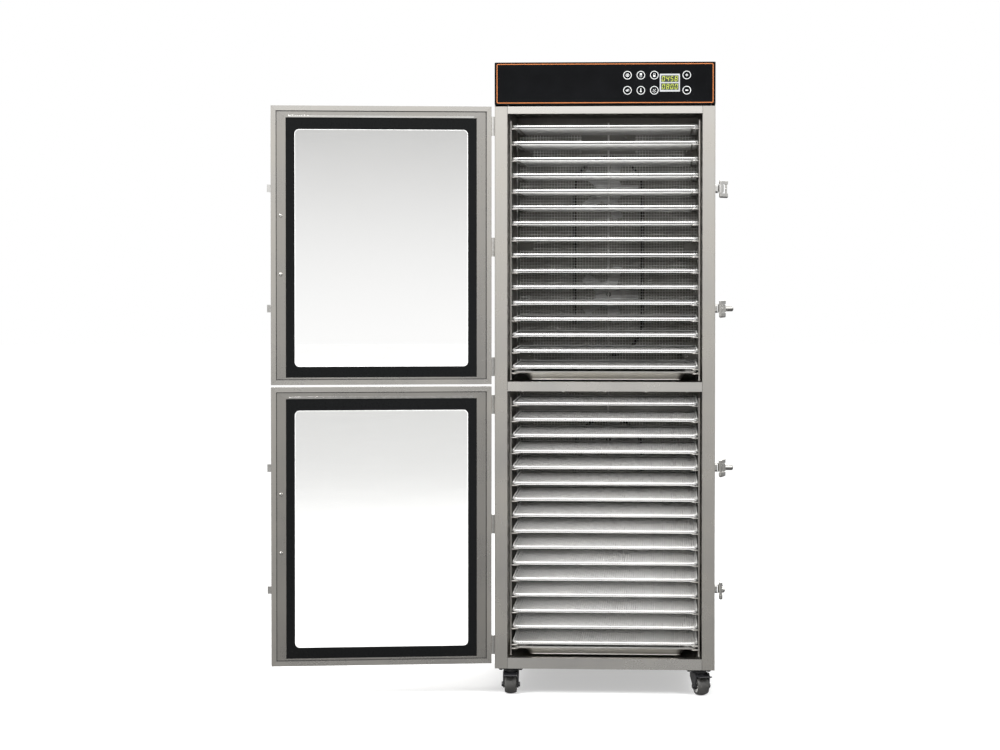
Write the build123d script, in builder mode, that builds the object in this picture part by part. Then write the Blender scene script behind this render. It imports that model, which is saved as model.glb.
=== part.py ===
"""Floor-standing food dehydrator with two drying chambers.

A stainless cabinet on four casters holds two chambers, one above the other. Each has sixteen wire-mesh
trays and a drip pan on wire racks, a mesh guard, a heating loop and two fans at its back, and a glazed
door hinged on the left. Two toggle latches on the cabinet's right side hold each door shut.

Frame: millimetres, +Z up, +X to the right, the doors' side faces -Y. The origin is on the floor under
the middle of the cabinet. The doors stand open, and every tray is in.
"""

from build123d import *
from math import cos, radians, sin
import os

os.makedirs("parts", exist_ok=True)

# ---- Cabinet -------------------------------------------------------------------------------------------
WIDTH = 583.0  # over the side panels
DEPTH = 590.0  # over the front frame and the rear cover
BASE_Z = 70.0  # underside of the cabinet above the floor
TOP_Z = 1678.0
SHEET = 1.2  # stainless sheet
GAP = 0.3  # between neighbouring pieces
STILE = 33.5  # visible width of each front stile
HEAD_HEIGHT = 112.0  # black control fascia
FASCIA_T = 4.0
RAIL_TOP_Z = 1562.0  # upper edge of the front frame's top rail
RETURN = 18.0  # how far the front frame's members fold back
FRAME_T = 2.0

FRONT = -DEPTH / 2
BACK = DEPTH / 2
SIDE = WIDTH / 2
OPENING = SIDE - STILE  # half the width of the door openings

# ---- Chambers ------------------------------------------------------------------------------------------
CHAMBERS = {"upper": (833.0, 1543.0), "lower": (99.0, 808.0)}  # bottom and top of each opening
CEILING_RISE = 16.0  # the upper chamber's ceiling stands above its opening
TRAYS = 16
TRAY_PITCH = 42.5
FIRST_TRAY = 32.5  # first tray's rim below the opening's top
TRAY_W = 494.0
TRAY_D = 400.0
TRAY_CORNER = 20.0
TRAY_RIM = 6.0
TRAY_SINK = 5.0  # mesh floor below the rim's middle line
TRAY_FRONT = FRONT + 20.0
PAN_RISE = 24.0  # drip pan's flange above the opening's bottom
PAN_W, PAN_D = 432.0, 372.0
PAN_DEEP = 20.0
PAN_SLOPE = 15.0
PAN_FLANGE_W = 484.0

RACK_X = 250.0
RACK_ROD_R = 2.5
RUNNER_X = 230.0
RUNNER_R = 2.0
RACK_FRONT = FRONT + 24.0
RACK_BACK = FRONT + 414.0

GUARD_Y = FRONT + 460.0
HEATER_Y = GUARD_Y + 14.0
HEATER_R = 95.0
HEATER_TUBE_R = 4.0
FAN_Y = GUARD_Y + 36.0
FAN_OFFSETS = {"upper": (-129.0, 166.0), "lower": (-103.0, 193.0)}  # from the middle of the chamber
FAN_HUB_R = 38.0
FAN_TIP_R = 84.0
SHAFT_R = 4.0
PLENUM_Y = GUARD_Y + 76.0  # the liner's back wall
MOTOR_R = 32.0
MOTOR_LENGTH = 38.0

# ---- Doors ---------------------------------------------------------------------------------------------
DOORS = {"upper": (826.5, 1562.0), "lower": (84.0, 820.5)}  # bottom and top edges
DOOR_W = 583.0
DOOR_T = 34.0
DOOR_OPEN = 170.6  # degrees from shut
HINGE_X = -SIDE - 4.0
HINGE_Y = FRONT - 1.0
HINGES = {"upper": (873.0, 1190.0, 1510.0), "lower": (134.0, 455.0, 773.0)}
HINGE_R = 4.0
HINGE_PIN_R = 1.75
HINGE_LENGTH = 50.0
HINGE_LEAF = 26.0
LIP_W = 13.0  # raised outer lip of the door's inner face
LIP_H = 5.0
UPRIGHT_W = 39.0  # lip and strip together, on the two upright members
TOP_W = 31.0  # on the top member
FOOT_W = 19.5  # and on the bottom member, whose strip is narrow
BOX_SHARE = 0.54  # how far across the strip the hollow section reaches
PANE_T = 4.0
PANE_GAP = 0.5
SPACER_INSET = 2.0
SPACER_W = 9.0
HANDLE_INSET = 26.0
HANDLE_SPAN = 155.0
HANDLE_Z = {"upper": 1195.0, "lower": 460.0}
HANDLE_R = 6.0
HANDLE_REACH = 40.0

# ---- Latches -------------------------------------------------------------------------------------------
# Lever and bail directions are in degrees clockwise from +Y, seen from above.
LATCHES = {  # height, lever, bail
    1: (1344.0, 0.0, 26.0),
    2: (1028.0, 90.0, 195.0),
    3: (608.0, 90.0, 195.0),
    4: (286.0, 180.0, 180.0),
}
LATCH_X = SIDE + 15.0
LATCH_Y = FRONT + 12.0
LATCH_THROW = 8.0  # bail pivot from lever pivot
BAIL_REACH = 32.5
BAIL_PIN_R = 2.5
LEVER_PIN_R = 3.0
LEVER_HUB_R = 7.5
LEVER_OFFSET = 4.0
LEVER_GRIP = 10.5  # where the round grip starts, from the pivot
LEVER_TIP = 33.0
LEVER_R = 8.0
EAR_Z = 9.8
EAR_T = 1.8
BAIL_Z = 12.0  # inner faces of the bail's arms
BAIL_TOP = 24.0
KEEPER_REACH = 10.0

# ---- Casters -------------------------------------------------------------------------------------------
CASTER_X = 250.0
CASTER_INSET = 45.0
WHEEL_R = 25.0
WHEEL_W = 31.0
TRAIL = 18.0
AXLE_R = 4.0
FORK_IN = 17.0
FORK_T = 3.5
FORK_TOP = 60.0
CROWN_R = 21.0  # swivelling crown of the fork
KING_PIN_R = 5.0
AXLE_NUT_R = 7.0
AXLE_NUT_T = 4.0
PLATE_T = 3.0  # caster's top plate
# Place of each swivel, and where its wheel trails to, in degrees counter-clockwise from -Y seen from above.
CASTERS = {
    "front_left": (-CASTER_X, FRONT + CASTER_INSET, 0.0),
    "front_right": (CASTER_X, FRONT + CASTER_INSET, 20.0),
    "rear_left": (-CASTER_X, BACK - CASTER_INSET, 180.0),
    "rear_right": (CASTER_X, BACK - CASTER_INSET, 180.0),
}
BRAKED = ("front_left", "front_right")

RUN_FIT = 0.05  # radial clearance of a running fit


def save(builder, label):
    """Label a finished piece and write its STEP file."""
    builder.part.label = label
    export_step(builder.part, f"parts/{label}.step")


def block(low, high, mode=Mode.ADD):
    """A box between two corners, in the part that is being built."""
    with Locations(tuple((a + b) / 2 for a, b in zip(low, high))):
        Box(*[b - a for a, b in zip(low, high)], mode=mode)


def upright(x, y, z0, z1, r, mode=Mode.ADD):
    """A vertical round bar from z0 to z1."""
    with Locations((x, y, z0)):
        Cylinder(r, z1 - z0, align=(Align.CENTER, Align.CENTER, Align.MIN), mode=mode)


def tray_levels(chamber):
    """Heights of a chamber's tray rims, from the top down."""
    return [CHAMBERS[chamber][1] - FIRST_TRAY - n * TRAY_PITCH for n in range(TRAYS)]


def pan_level(chamber):
    return CHAMBERS[chamber][0] + PAN_RISE


def fan_heights(chamber):
    low, high = CHAMBERS[chamber]
    return [(low + high) / 2 + dz for dz in FAN_OFFSETS[chamber]]


# ==== Cabinet shell =====================================================================================
with BuildPart() as outer_casing:  # two side panels and the top
    for side in (-1, 1):
        edges = sorted((side * (SIDE - SHEET), side * SIDE))
        block((edges[0], FRONT, BASE_Z), (edges[1], BACK, TOP_Z - SHEET - GAP))
    block((-SIDE, FRONT, TOP_Z - SHEET), (SIDE, BACK, TOP_Z))
save(outer_casing, "outer_casing")

GLAND_Z = 190.0
GLAND_X = 180.0
GLAND_HOLE_R = 10.0
GLAND_BORE_R = 4.5
GLAND_LENGTH = 22.0
GLAND_NUT_R = 13.0
GLAND_NUT_T = 7.0
GLAND_CAP_R = 9.0
GLAND_TAIL = 6.0  # its thread inside the cover
VENT_SLOT = (64.0, 5.0)
VENT_PITCH = (84.0, 14.0)

with BuildPart() as rear_cover:  # screwed back panel with its air slots, and the cable gland
    inner = SIDE - SHEET - GAP
    block((-inner, BACK - SHEET, BASE_Z + GAP), (inner, BACK, TOP_Z - SHEET - GAP))
    for chamber in CHAMBERS:
        for z in fan_heights(chamber):
            with BuildSketch(Plane(origin=(0, BACK, z), x_dir=(1, 0, 0), z_dir=(0, -1, 0))):
                with GridLocations(VENT_PITCH[0], VENT_PITCH[1], 3, 7):
                    SlotOverall(*VENT_SLOT)
            extrude(amount=SHEET, mode=Mode.SUBTRACT)
    gland_plane = Plane(origin=(GLAND_X, BACK - SHEET, GLAND_Z), x_dir=(1, 0, 0), z_dir=(0, 1, 0))
    with BuildSketch(gland_plane):
        Circle(GLAND_HOLE_R)
    extrude(amount=SHEET, mode=Mode.SUBTRACT)
    with BuildSketch(gland_plane.offset(SHEET + 0.1)):
        RegularPolygon(GLAND_NUT_R, 6)
        Circle(GLAND_BORE_R, mode=Mode.SUBTRACT)
    extrude(amount=GLAND_NUT_T)
    with BuildSketch(gland_plane.offset(-GLAND_TAIL)):
        Circle(GLAND_HOLE_R - 0.2)
        Circle(GLAND_BORE_R, mode=Mode.SUBTRACT)
    extrude(amount=GLAND_TAIL + SHEET + 0.1)
    with BuildSketch(gland_plane.offset(SHEET + GLAND_NUT_T + 0.1)):
        Circle(GLAND_CAP_R)
        Circle(GLAND_BORE_R, mode=Mode.SUBTRACT)
    extrude(amount=GLAND_LENGTH - GLAND_TAIL - GLAND_NUT_T)
save(rear_cover, "rear_cover")

with BuildPart() as base_pan:  # floor of the cabinet, which carries the casters
    inner = SIDE - SHEET - GAP
    block((-inner, FRONT + FRAME_T + GAP, BASE_Z), (inner, BACK - SHEET - GAP, BASE_Z + 2.0))
save(base_pan, "base_pan")

LINER_FRONT = FRONT + RETURN + FRAME_T + GAP
LINER_SIDE = OPENING + SHEET  # outer face of the liner's side walls
CEILING_Z = CHAMBERS["upper"][1] + CEILING_RISE
FLOOR_Z = CHAMBERS["lower"][0] - 3.0
DECK_LOW = CHAMBERS["lower"][1] + 2.0
DECK_HIGH = CHAMBERS["upper"][0] - 2.0

with BuildPart() as chamber_liner:  # side walls, ceiling, floor, dividing deck and back wall
    for side in (-1, 1):
        edges = sorted((side * OPENING, side * LINER_SIDE))
        block((edges[0], LINER_FRONT, FLOOR_Z), (edges[1], PLENUM_Y - GAP, CEILING_Z))
    half = OPENING - GAP
    block((-half, LINER_FRONT, CEILING_Z), (half, PLENUM_Y - GAP, CEILING_Z + SHEET))
    block((-half, LINER_FRONT, FLOOR_Z - SHEET), (half, PLENUM_Y - GAP, FLOOR_Z))
    for low in (DECK_LOW, DECK_HIGH - SHEET):
        block((-half, LINER_FRONT, low), (half, PLENUM_Y - GAP, low + SHEET))
    with BuildSketch(Plane(origin=(0, PLENUM_Y, 0), x_dir=(1, 0, 0), z_dir=(0, -1, 0)).offset(-SHEET)):
        with Locations((0, (FLOOR_Z + CEILING_Z) / 2)):
            Rectangle(2 * LINER_SIDE, CEILING_Z - FLOOR_Z)
        for chamber in CHAMBERS:
            with Locations([(0, z) for z in fan_heights(chamber)]):
                Circle(2 * SHAFT_R, mode=Mode.SUBTRACT)
    extrude(amount=SHEET)
save(chamber_liner, "chamber_liner")

RAILS = {  # bottom edge, top edge, and which edges fold back into the cabinet
    "top": (CHAMBERS["upper"][1], RAIL_TOP_Z, (0,)),
    "divider": (CHAMBERS["lower"][1], CHAMBERS["upper"][0], (0, 1)),
    "bottom": (BASE_Z + GAP, CHAMBERS["lower"][0], (1,)),
}

with BuildPart() as front_frame:  # folded stiles and rails around the two openings
    for side in (-1, 1):
        edges = sorted((side * OPENING, side * (SIDE - SHEET - GAP)))
        block((edges[0], FRONT, BASE_Z + GAP), (edges[1], FRONT + FRAME_T, RAIL_TOP_Z))
        folds = sorted((side * OPENING, side * LINER_SIDE))
        block((folds[0], FRONT + FRAME_T, FLOOR_Z), (folds[1], FRONT + FRAME_T + RETURN, RAIL_TOP_Z))
    for low, high, folded in RAILS.values():
        half = OPENING - 0.15
        block((-half, FRONT + 0.5, low), (half, FRONT + FRAME_T, high))
        for edge in folded:
            z = high - SHEET if edge else low
            block((-half, FRONT + FRAME_T, z), (half, FRONT + FRAME_T + RETURN, z + SHEET))
save(front_frame, "front_frame")

FASCIA_Z = TOP_Z - HEAD_HEIGHT / 2
DISPLAY_X, DISPLAY_Z = 171.0, FASCIA_Z + 1.0
DISPLAY_W, DISPLAY_H = 52.0, 46.0
BOARD_Y = FRONT + 18.0
BOARD_T = 1.6

with BuildPart() as control_fascia:  # black glass front of the control head
    with BuildSketch(Plane(origin=(0, FRONT, FASCIA_Z), x_dir=(1, 0, 0), z_dir=(0, -1, 0))):
        RectangleRounded(WIDTH, HEAD_HEIGHT, 3.0)
    extrude(amount=FASCIA_T)
    chamfer(control_fascia.faces().sort_by(Axis.Y)[0].edges(), 0.8)
save(control_fascia, "control_fascia")

with BuildPart() as control_board:  # circuit board, display module, relays and touch springs
    block((30.0, BOARD_Y, FASCIA_Z - 40.0), (250.0, BOARD_Y + BOARD_T, FASCIA_Z + 40.0))
    block(
        (DISPLAY_X - DISPLAY_W / 2, FRONT + 0.4, DISPLAY_Z - DISPLAY_H / 2),
        (DISPLAY_X + DISPLAY_W / 2, BOARD_Y, DISPLAY_Z + DISPLAY_H / 2),
    )
    for x in (60.0, 95.0):
        block((x, BOARD_Y + BOARD_T, FASCIA_Z - 20.0), (x + 24.0, BOARD_Y + 20.0, FASCIA_Z + 4.0))
save(control_board, "control_board")

# ==== Inside the chambers ===============================================================================
with BuildPart() as tray_racks:  # wire ladders down both sides of each chamber
    for chamber, (low, high) in CHAMBERS.items():
        heights = [z - TRAY_SINK - GAP - RUNNER_R for z in tray_levels(chamber)]
        heights.append(pan_level(chamber) - GAP - RUNNER_R)
        for side in (-1, 1):
            for y in (RACK_FRONT, RACK_BACK):
                upright(side * RACK_X, y, low + 4.0, high - 18.0, RACK_ROD_R)
            inner = side * (RACK_X - RACK_ROD_R - 0.1)
            for z in heights:
                with BuildLine() as runner:
                    FilletPolyline(
                        (inner, RACK_FRONT, z),
                        (side * RUNNER_X, RACK_FRONT, z),
                        (side * RUNNER_X, RACK_BACK, z),
                        (inner, RACK_BACK, z),
                        radius=7.0,
                    )
                with BuildSketch(Plane(origin=runner.line @ 0, z_dir=runner.line % 0)):
                    Circle(RUNNER_R)
                sweep(path=runner.line)
save(tray_racks, "tray_racks")

GUARD_T = 1.0
GUARD_BAR = 8.0

with BuildPart() as fan_guards:  # framed mesh screens in front of the fans
    for low, high in CHAMBERS.values():
        half = OPENING - 1.0
        block((-half, GUARD_Y, low + 1.0), (half, GUARD_Y + GUARD_T, high - 1.0))
        for x in (-half, half - GUARD_BAR):
            block((x, GUARD_Y + GUARD_T, low + 1.0), (x + GUARD_BAR, GUARD_Y + 5.0, high - 1.0))
        block((-3.0, GUARD_Y - 3.0, low + 1.0), (3.0, GUARD_Y, high - 1.0))
save(fan_guards, "fan_guards")

HEATER_HALF = 184.0  # straight half-length of the heating loop
HEATER_DROP = 21.0  # its middle below the middle of the chamber
TERMINAL_R = 6.5

with BuildPart() as heating_elements:  # one tubular loop round each pair of fans, with its two tails
    for low, high in CHAMBERS.values():
        middle = (low + high) / 2 - HEATER_DROP
        loop_plane = Plane(origin=(0, HEATER_Y, middle), x_dir=(1, 0, 0), z_dir=(0, -1, 0))
        with BuildLine(loop_plane) as loop:
            Line((-HEATER_R, -HEATER_HALF), (-HEATER_R, HEATER_HALF))
            ThreePointArc((-HEATER_R, HEATER_HALF), (0, HEATER_HALF + HEATER_R), (HEATER_R, HEATER_HALF))
            Line((HEATER_R, HEATER_HALF), (HEATER_R, -HEATER_HALF))
            ThreePointArc(
                (HEATER_R, -HEATER_HALF),
                (HEATER_R * cos(radians(45)), -HEATER_HALF - HEATER_R * sin(radians(45))),
                (HEATER_R * cos(radians(80)), -HEATER_HALF - HEATER_R * sin(radians(80))),
            )
        with BuildSketch(Plane(origin=loop.line @ 0, z_dir=loop.line % 0)):
            Circle(HEATER_TUBE_R)
        sweep(path=loop.line)
        for end in (loop.line @ 0, loop.line @ 1):
            with BuildSketch(Plane(origin=end, x_dir=(1, 0, 0), z_dir=(0, 1, 0)).offset(-TERMINAL_R)):
                Circle(TERMINAL_R)
            extrude(amount=PLENUM_Y - HEATER_Y + TERMINAL_R - GAP)
save(heating_elements, "heating_elements")

with BuildPart() as fan_motors:  # four motors on the back of the liner
    for chamber in CHAMBERS:
        for z in fan_heights(chamber):
            motor_plane = Plane(origin=(0, PLENUM_Y + SHEET + GAP, z), x_dir=(1, 0, 0), z_dir=(0, 1, 0))
            with BuildSketch(motor_plane):
                RectangleRounded(92.0, 30.0, 8.0)
                Circle(MOTOR_R)
                Circle(SHAFT_R + RUN_FIT, mode=Mode.SUBTRACT)
            extrude(amount=2.0)
            with BuildSketch(motor_plane.offset(2.0)):
                Circle(MOTOR_R)
                Circle(SHAFT_R + RUN_FIT, mode=Mode.SUBTRACT)
            extrude(amount=12.0)
            with BuildSketch(motor_plane.offset(14.0)):
                Circle(MOTOR_R)
            extrude(amount=MOTOR_LENGTH - 14.0)
save(fan_motors, "fan_motors")

FAN_BLADES = 5
number = 0
for chamber in CHAMBERS:
    for z in fan_heights(chamber):
        number += 1
        fan_plane = Plane(origin=(0, FAN_Y, z), x_dir=(1, 0, 0), z_dir=(0, 1, 0))
        with BuildPart(fan_plane) as fan:  # impeller and its shaft
            Cylinder(FAN_HUB_R, 10.0)
            with PolarLocations((FAN_HUB_R + FAN_TIP_R) / 2 - 3.0, FAN_BLADES):
                Box(FAN_TIP_R - FAN_HUB_R + 6.0, 30.0, 1.4, rotation=(24, 0, 0))
            with BuildSketch(fan_plane):
                Circle(SHAFT_R)
            extrude(amount=PLENUM_Y + SHEET + GAP + 12.0 - FAN_Y)
        save(fan, f"fan_{number}")


def build_tray(z, label):
    """One mesh tray: a rounded rim over a thin floor that stands for the woven wire."""
    middle = TRAY_FRONT + TRAY_D / 2
    with BuildPart() as tray:
        tray_solid(z, middle)
    save(tray, label)


def tray_solid(z, middle):
    with BuildSketch(Plane.XY.offset(z - TRAY_SINK)) as outline:
        with Locations((0, middle)):
            RectangleRounded(TRAY_W, TRAY_D, TRAY_CORNER)
    extrude(outline.sketch, amount=TRAY_SINK + TRAY_RIM / 2)
    with BuildSketch(Plane.XY.offset(z - TRAY_SINK + 1.0)) as hollow:
        with Locations((0, middle)):
            RectangleRounded(TRAY_W - 2 * TRAY_RIM, TRAY_D - 2 * TRAY_RIM, TRAY_CORNER - TRAY_RIM)
    extrude(hollow.sketch, amount=TRAY_SINK + TRAY_RIM, mode=Mode.SUBTRACT)


for n, z in enumerate(tray_levels("upper"), start=1):
    build_tray(z, f"tray_upper_{n:02d}")

with BuildPart() as trays_lower:  # the lower chamber's sixteen trays, drawn out together
    for z in tray_levels("lower"):
        tray_solid(z, TRAY_FRONT + TRAY_D / 2)
save(trays_lower, "trays_lower")


def pan_shape(z, inset, deep, mode):
    """A basin with sloping sides under the plane at z, inset from the pan's outer surface."""
    middle = TRAY_FRONT + TRAY_D / 2
    with BuildSketch(Plane.XY.offset(z)) as mouth:
        with Locations((0, middle)):
            RectangleRounded(PAN_W - 2 * inset, PAN_D - 2 * inset, 24.0 - inset)
    with BuildSketch(Plane.XY.offset(z - deep)) as bottom:
        with Locations((0, middle)):
            width = PAN_W - 2 * PAN_SLOPE - 2 * inset
            RectangleRounded(width, PAN_D - 2 * PAN_SLOPE - 2 * inset, 14.0 - inset)
    loft([mouth.sketch, bottom.sketch], mode=mode)


for chamber in CHAMBERS:
    z = pan_level(chamber)
    with BuildPart() as drip_pan:  # pressed pan with a flange that rides on the lowest runners
        with BuildSketch(Plane.XY.offset(z)):
            with Locations((0, TRAY_FRONT + TRAY_D / 2)):
                RectangleRounded(PAN_FLANGE_W, TRAY_D, 12.0)
        extrude(amount=2.5)
        pan_shape(z, 0.0, PAN_DEEP, Mode.ADD)
        with BuildSketch(Plane.XY.offset(z)):
            with Locations((0, TRAY_FRONT + TRAY_D / 2)):
                RectangleRounded(PAN_W - 2 * SHEET, PAN_D - 2 * SHEET, 24.0 - SHEET)
        extrude(amount=2.5, mode=Mode.SUBTRACT)
        pan_shape(z, SHEET, PAN_DEEP - SHEET, Mode.SUBTRACT)
    save(drip_pan, f"drip_pan_{chamber}")

# ==== Doors =============================================================================================
# In a door's own frame u runs from the hinge axis to the free edge, v is up and n is the outward normal.
U_DIR = Vector(cos(radians(DOOR_OPEN)), -sin(radians(DOOR_OPEN)), 0)
N_DIR = Vector(-sin(radians(DOOR_OPEN)), -cos(radians(DOOR_OPEN)), 0)
V_DIR = Vector(0, 0, 1)
EDGE_U = HINGE_R  # the door's hinge-side edge
FREE_U = EDGE_U + DOOR_W
INNER_N = 1.0  # the door's inner face
OUTER_N = INNER_N + DOOR_T


def door_point(u, n, z):
    return Vector(HINGE_X, HINGE_Y, z) + U_DIR * u + N_DIR * n


def door_plane(u, n, z):
    """A plane that faces out of the door, with its X axis towards the free edge."""
    return Plane(origin=door_point(u, n, z), x_dir=U_DIR, z_dir=N_DIR)


def door_block(low, high, mode=Mode.ADD):
    """A box between two corners given as (u, n, z)."""
    with BuildSketch(door_plane((low[0] + high[0]) / 2, low[1], (low[2] + high[2]) / 2)) as face:
        Rectangle(high[0] - low[0], high[2] - low[2])
    extrude(face.sketch, amount=high[1] - low[1], mode=mode)


def box_width(width):
    """Width of the hollow section behind a door member's lip and strip."""
    return LIP_W + (width - LIP_W) * BOX_SHARE


def door_member(corner, along, length, width, before, after):
    """One mitred member of a door's frame, a hollow section with a lip on each face for the glass.

    before and after are the widths of the members that meet it at its start and at its end.
    """
    box = box_width(width)
    plane = Plane(origin=corner, x_dir=along, z_dir=N_DIR)
    section = Plane(origin=corner, x_dir=plane.y_dir, z_dir=plane.x_dir)
    seam = 0.1
    with BuildPart() as member:
        with BuildSketch(section):
            with BuildLine():
                Polyline(
                    (0, 0), (LIP_W, 0), (LIP_W, LIP_H), (width, LIP_H), (width, LIP_H + SHEET),
                    (box, LIP_H + SHEET), (box, DOOR_T - SHEET), (width, DOOR_T - SHEET),
                    (width, DOOR_T), (0, DOOR_T), close=True,
                )
            make_face()
            with BuildLine():
                Polyline(
                    (SHEET, SHEET), (LIP_W - SHEET, SHEET), (LIP_W - SHEET, LIP_H + SHEET),
                    (box - SHEET, LIP_H + SHEET), (box - SHEET, DOOR_T - SHEET),
                    (SHEET, DOOR_T - SHEET), close=True,
                )
            make_face(mode=Mode.SUBTRACT)
        extrude(amount=length)
        with BuildSketch(plane):
            with BuildLine():
                Polyline(
                    (seam, 0), (length - seam, 0), (length - LIP_W - seam, LIP_W),
                    (length - after - seam, width), (before + seam, width),
                    (LIP_W + seam, LIP_W), close=True,
                )
            make_face()
        extrude(amount=DOOR_T, mode=Mode.INTERSECT)
    return member.part


for door, (low, high) in DOORS.items():
    height = high - low
    with BuildPart() as door_frame:
        add(door_member(door_point(EDGE_U, INNER_N, low), U_DIR, DOOR_W, FOOT_W, UPRIGHT_W, UPRIGHT_W))
        add(door_member(door_point(FREE_U, INNER_N, low), V_DIR, height, UPRIGHT_W, FOOT_W, TOP_W))
        add(door_member(door_point(FREE_U, INNER_N, high), -U_DIR, DOOR_W, TOP_W, UPRIGHT_W, UPRIGHT_W))
        add(door_member(door_point(EDGE_U, INNER_N, high), -V_DIR, height, UPRIGHT_W, TOP_W, FOOT_W))
    save(door_frame, f"door_frame_{door}")

    side = box_width(UPRIGHT_W) + PANE_GAP
    foot = low + box_width(FOOT_W) + PANE_GAP
    top = high - box_width(TOP_W) - PANE_GAP
    first = INNER_N + LIP_H + SHEET + GAP
    second = OUTER_N - SHEET - GAP - PANE_T
    with BuildPart() as door_glass:  # double glazing on a spacer frame
        for n in (first, second):
            door_block((EDGE_U + side, n, foot), (FREE_U - side, n + PANE_T, top))
        with BuildSketch(door_plane((EDGE_U + FREE_U) / 2, first + PANE_T + 0.1, (foot + top) / 2)):
            for inset, mode in ((SPACER_INSET, Mode.ADD), (SPACER_INSET + SPACER_W, Mode.SUBTRACT)):
                Rectangle(DOOR_W - 2 * (side + inset), top - foot - 2 * inset, mode=mode)
        extrude(amount=second - first - PANE_T - 0.2)
    save(door_glass, f"door_glass_{door}")

    with BuildPart() as door_fittings:  # pull handle with its studs, keepers and the moving hinge leaves
        stud_u = FREE_U - HANDLE_INSET
        middle = HANDLE_Z[door]
        for side in (-1, 1):
            z = middle + side * HANDLE_SPAN / 2
            with BuildSketch(door_plane(stud_u, OUTER_N + 0.1, z)):
                Circle(HANDLE_R)
            extrude(amount=HANDLE_REACH)
            with BuildSketch(door_plane(stud_u, INNER_N + LIP_H - 0.1, z)):
                Circle(4.5)
            extrude(amount=-3.0, taper=25)
        bar = HANDLE_SPAN / 2 + 16.0
        point = door_point(stud_u, OUTER_N + HANDLE_REACH, 0)
        upright(point.X, point.Y, middle - bar, middle + bar, HANDLE_R)
        for z, _lever, _bail in LATCHES.values():
            if low < z < high:
                keeper = Plane(origin=door_point(FREE_U + 0.1, 0, z + 10.0), x_dir=U_DIR, z_dir=-V_DIR)
                with BuildSketch(keeper):
                    with BuildLine():
                        Polyline(
                            (0, 3.0), (KEEPER_REACH - 1.5, 4.6), (KEEPER_REACH, 5.6),
                            (KEEPER_REACH, 8.0), (2.5, 8.0), (2.5, 24.0), (0, 24.0), close=True,
                        )
                    make_face()
                extrude(amount=20.0)
        for z in HINGES[door]:
            third = HINGE_LENGTH / 3
            leaf = (z - HINGE_LENGTH / 2, z + HINGE_LENGTH / 2)
            door_block((1.9, 2.0, leaf[0]), (EDGE_U - 0.1, 2.0 + HINGE_LEAF, leaf[1]))
            door_block((2.4, 0.0, z - third / 2 + GAP), (EDGE_U - 0.1, 3.0, z + third / 2 - GAP))
            upright(HINGE_X, HINGE_Y, z - third / 2 + GAP, z + third / 2 - GAP, HINGE_R - 0.1)
            for side in (-1, 1):
                clear = (z + side * third / 2 - side * GAP, z + side * (HINGE_LENGTH / 2 + 1.0))
                upright(HINGE_X, HINGE_Y, min(clear), max(clear), HINGE_R + GAP, mode=Mode.SUBTRACT)
            upright(HINGE_X, HINGE_Y, z - third, z + third, HINGE_PIN_R + RUN_FIT, mode=Mode.SUBTRACT)
    save(door_fittings, f"door_fittings_{door}")

# ==== Fittings fixed to the cabinet =====================================================================
DIVIDER_SCREWS = (-218.0, -110.0, 0.0, 110.0, 218.0)

with BuildPart() as cabinet_fittings:  # fixed hinge leaves with their pins, latch bosses, deck screws
    for door in DOORS:
        for z in HINGES[door]:
            third = HINGE_LENGTH / 3
            ends = ((z - HINGE_LENGTH / 2, z - third / 2), (z + third / 2, z + HINGE_LENGTH / 2))
            for z0, z1 in ends:
                upright(HINGE_X, HINGE_Y, z0, z1, HINGE_R - 0.1)
                block((-SIDE - 1.6, HINGE_Y, z0), (-SIDE - 0.1, HINGE_Y + 5.0, z1))
            block(
                (-SIDE - 1.6, HINGE_Y + 5.0, z - HINGE_LENGTH / 2),
                (-SIDE - 0.1, HINGE_Y + HINGE_LEAF, z + HINGE_LENGTH / 2),
            )
            upright(HINGE_X, HINGE_Y, z - HINGE_LENGTH / 2, z + HINGE_LENGTH / 2, HINGE_PIN_R)
    for z, _lever, _bail in LATCHES.values():
        with BuildSketch(Plane(origin=(SIDE + 0.1, LATCH_Y, z), x_dir=(0, 1, 0), z_dir=(1, 0, 0))):
            RectangleRounded(18.0, 2 * (EAR_Z + EAR_T), 5.0)
        extrude(amount=6.0)
        for side in (-1, 1):
            base = z + EAR_Z if side > 0 else z - EAR_Z - EAR_T
            with BuildSketch(Plane.XY.offset(base)):
                with Locations(((SIDE + LATCH_X) / 2, LATCH_Y)):
                    Rectangle(LATCH_X - SIDE - 0.2, 10.0)
                with Locations((LATCH_X, LATCH_Y)):
                    Circle(5.0)
            extrude(amount=EAR_T)
        upright(LATCH_X, LATCH_Y, z - EAR_Z, z + EAR_Z, LEVER_PIN_R)
    for x in DIVIDER_SCREWS:
        with Locations((x, FRONT + 10.0, CHAMBERS["lower"][1] - 0.1)):
            Cone(2.0, 4.0, 2.4, align=(Align.CENTER, Align.CENTER, Align.MAX))
save(cabinet_fittings, "cabinet_fittings")


# ==== Latches ===========================================================================================
def heading(degrees):
    """The horizontal direction at this many degrees clockwise from +Y, seen from above."""
    return Vector(sin(radians(degrees)), cos(radians(degrees)), 0)


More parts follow.
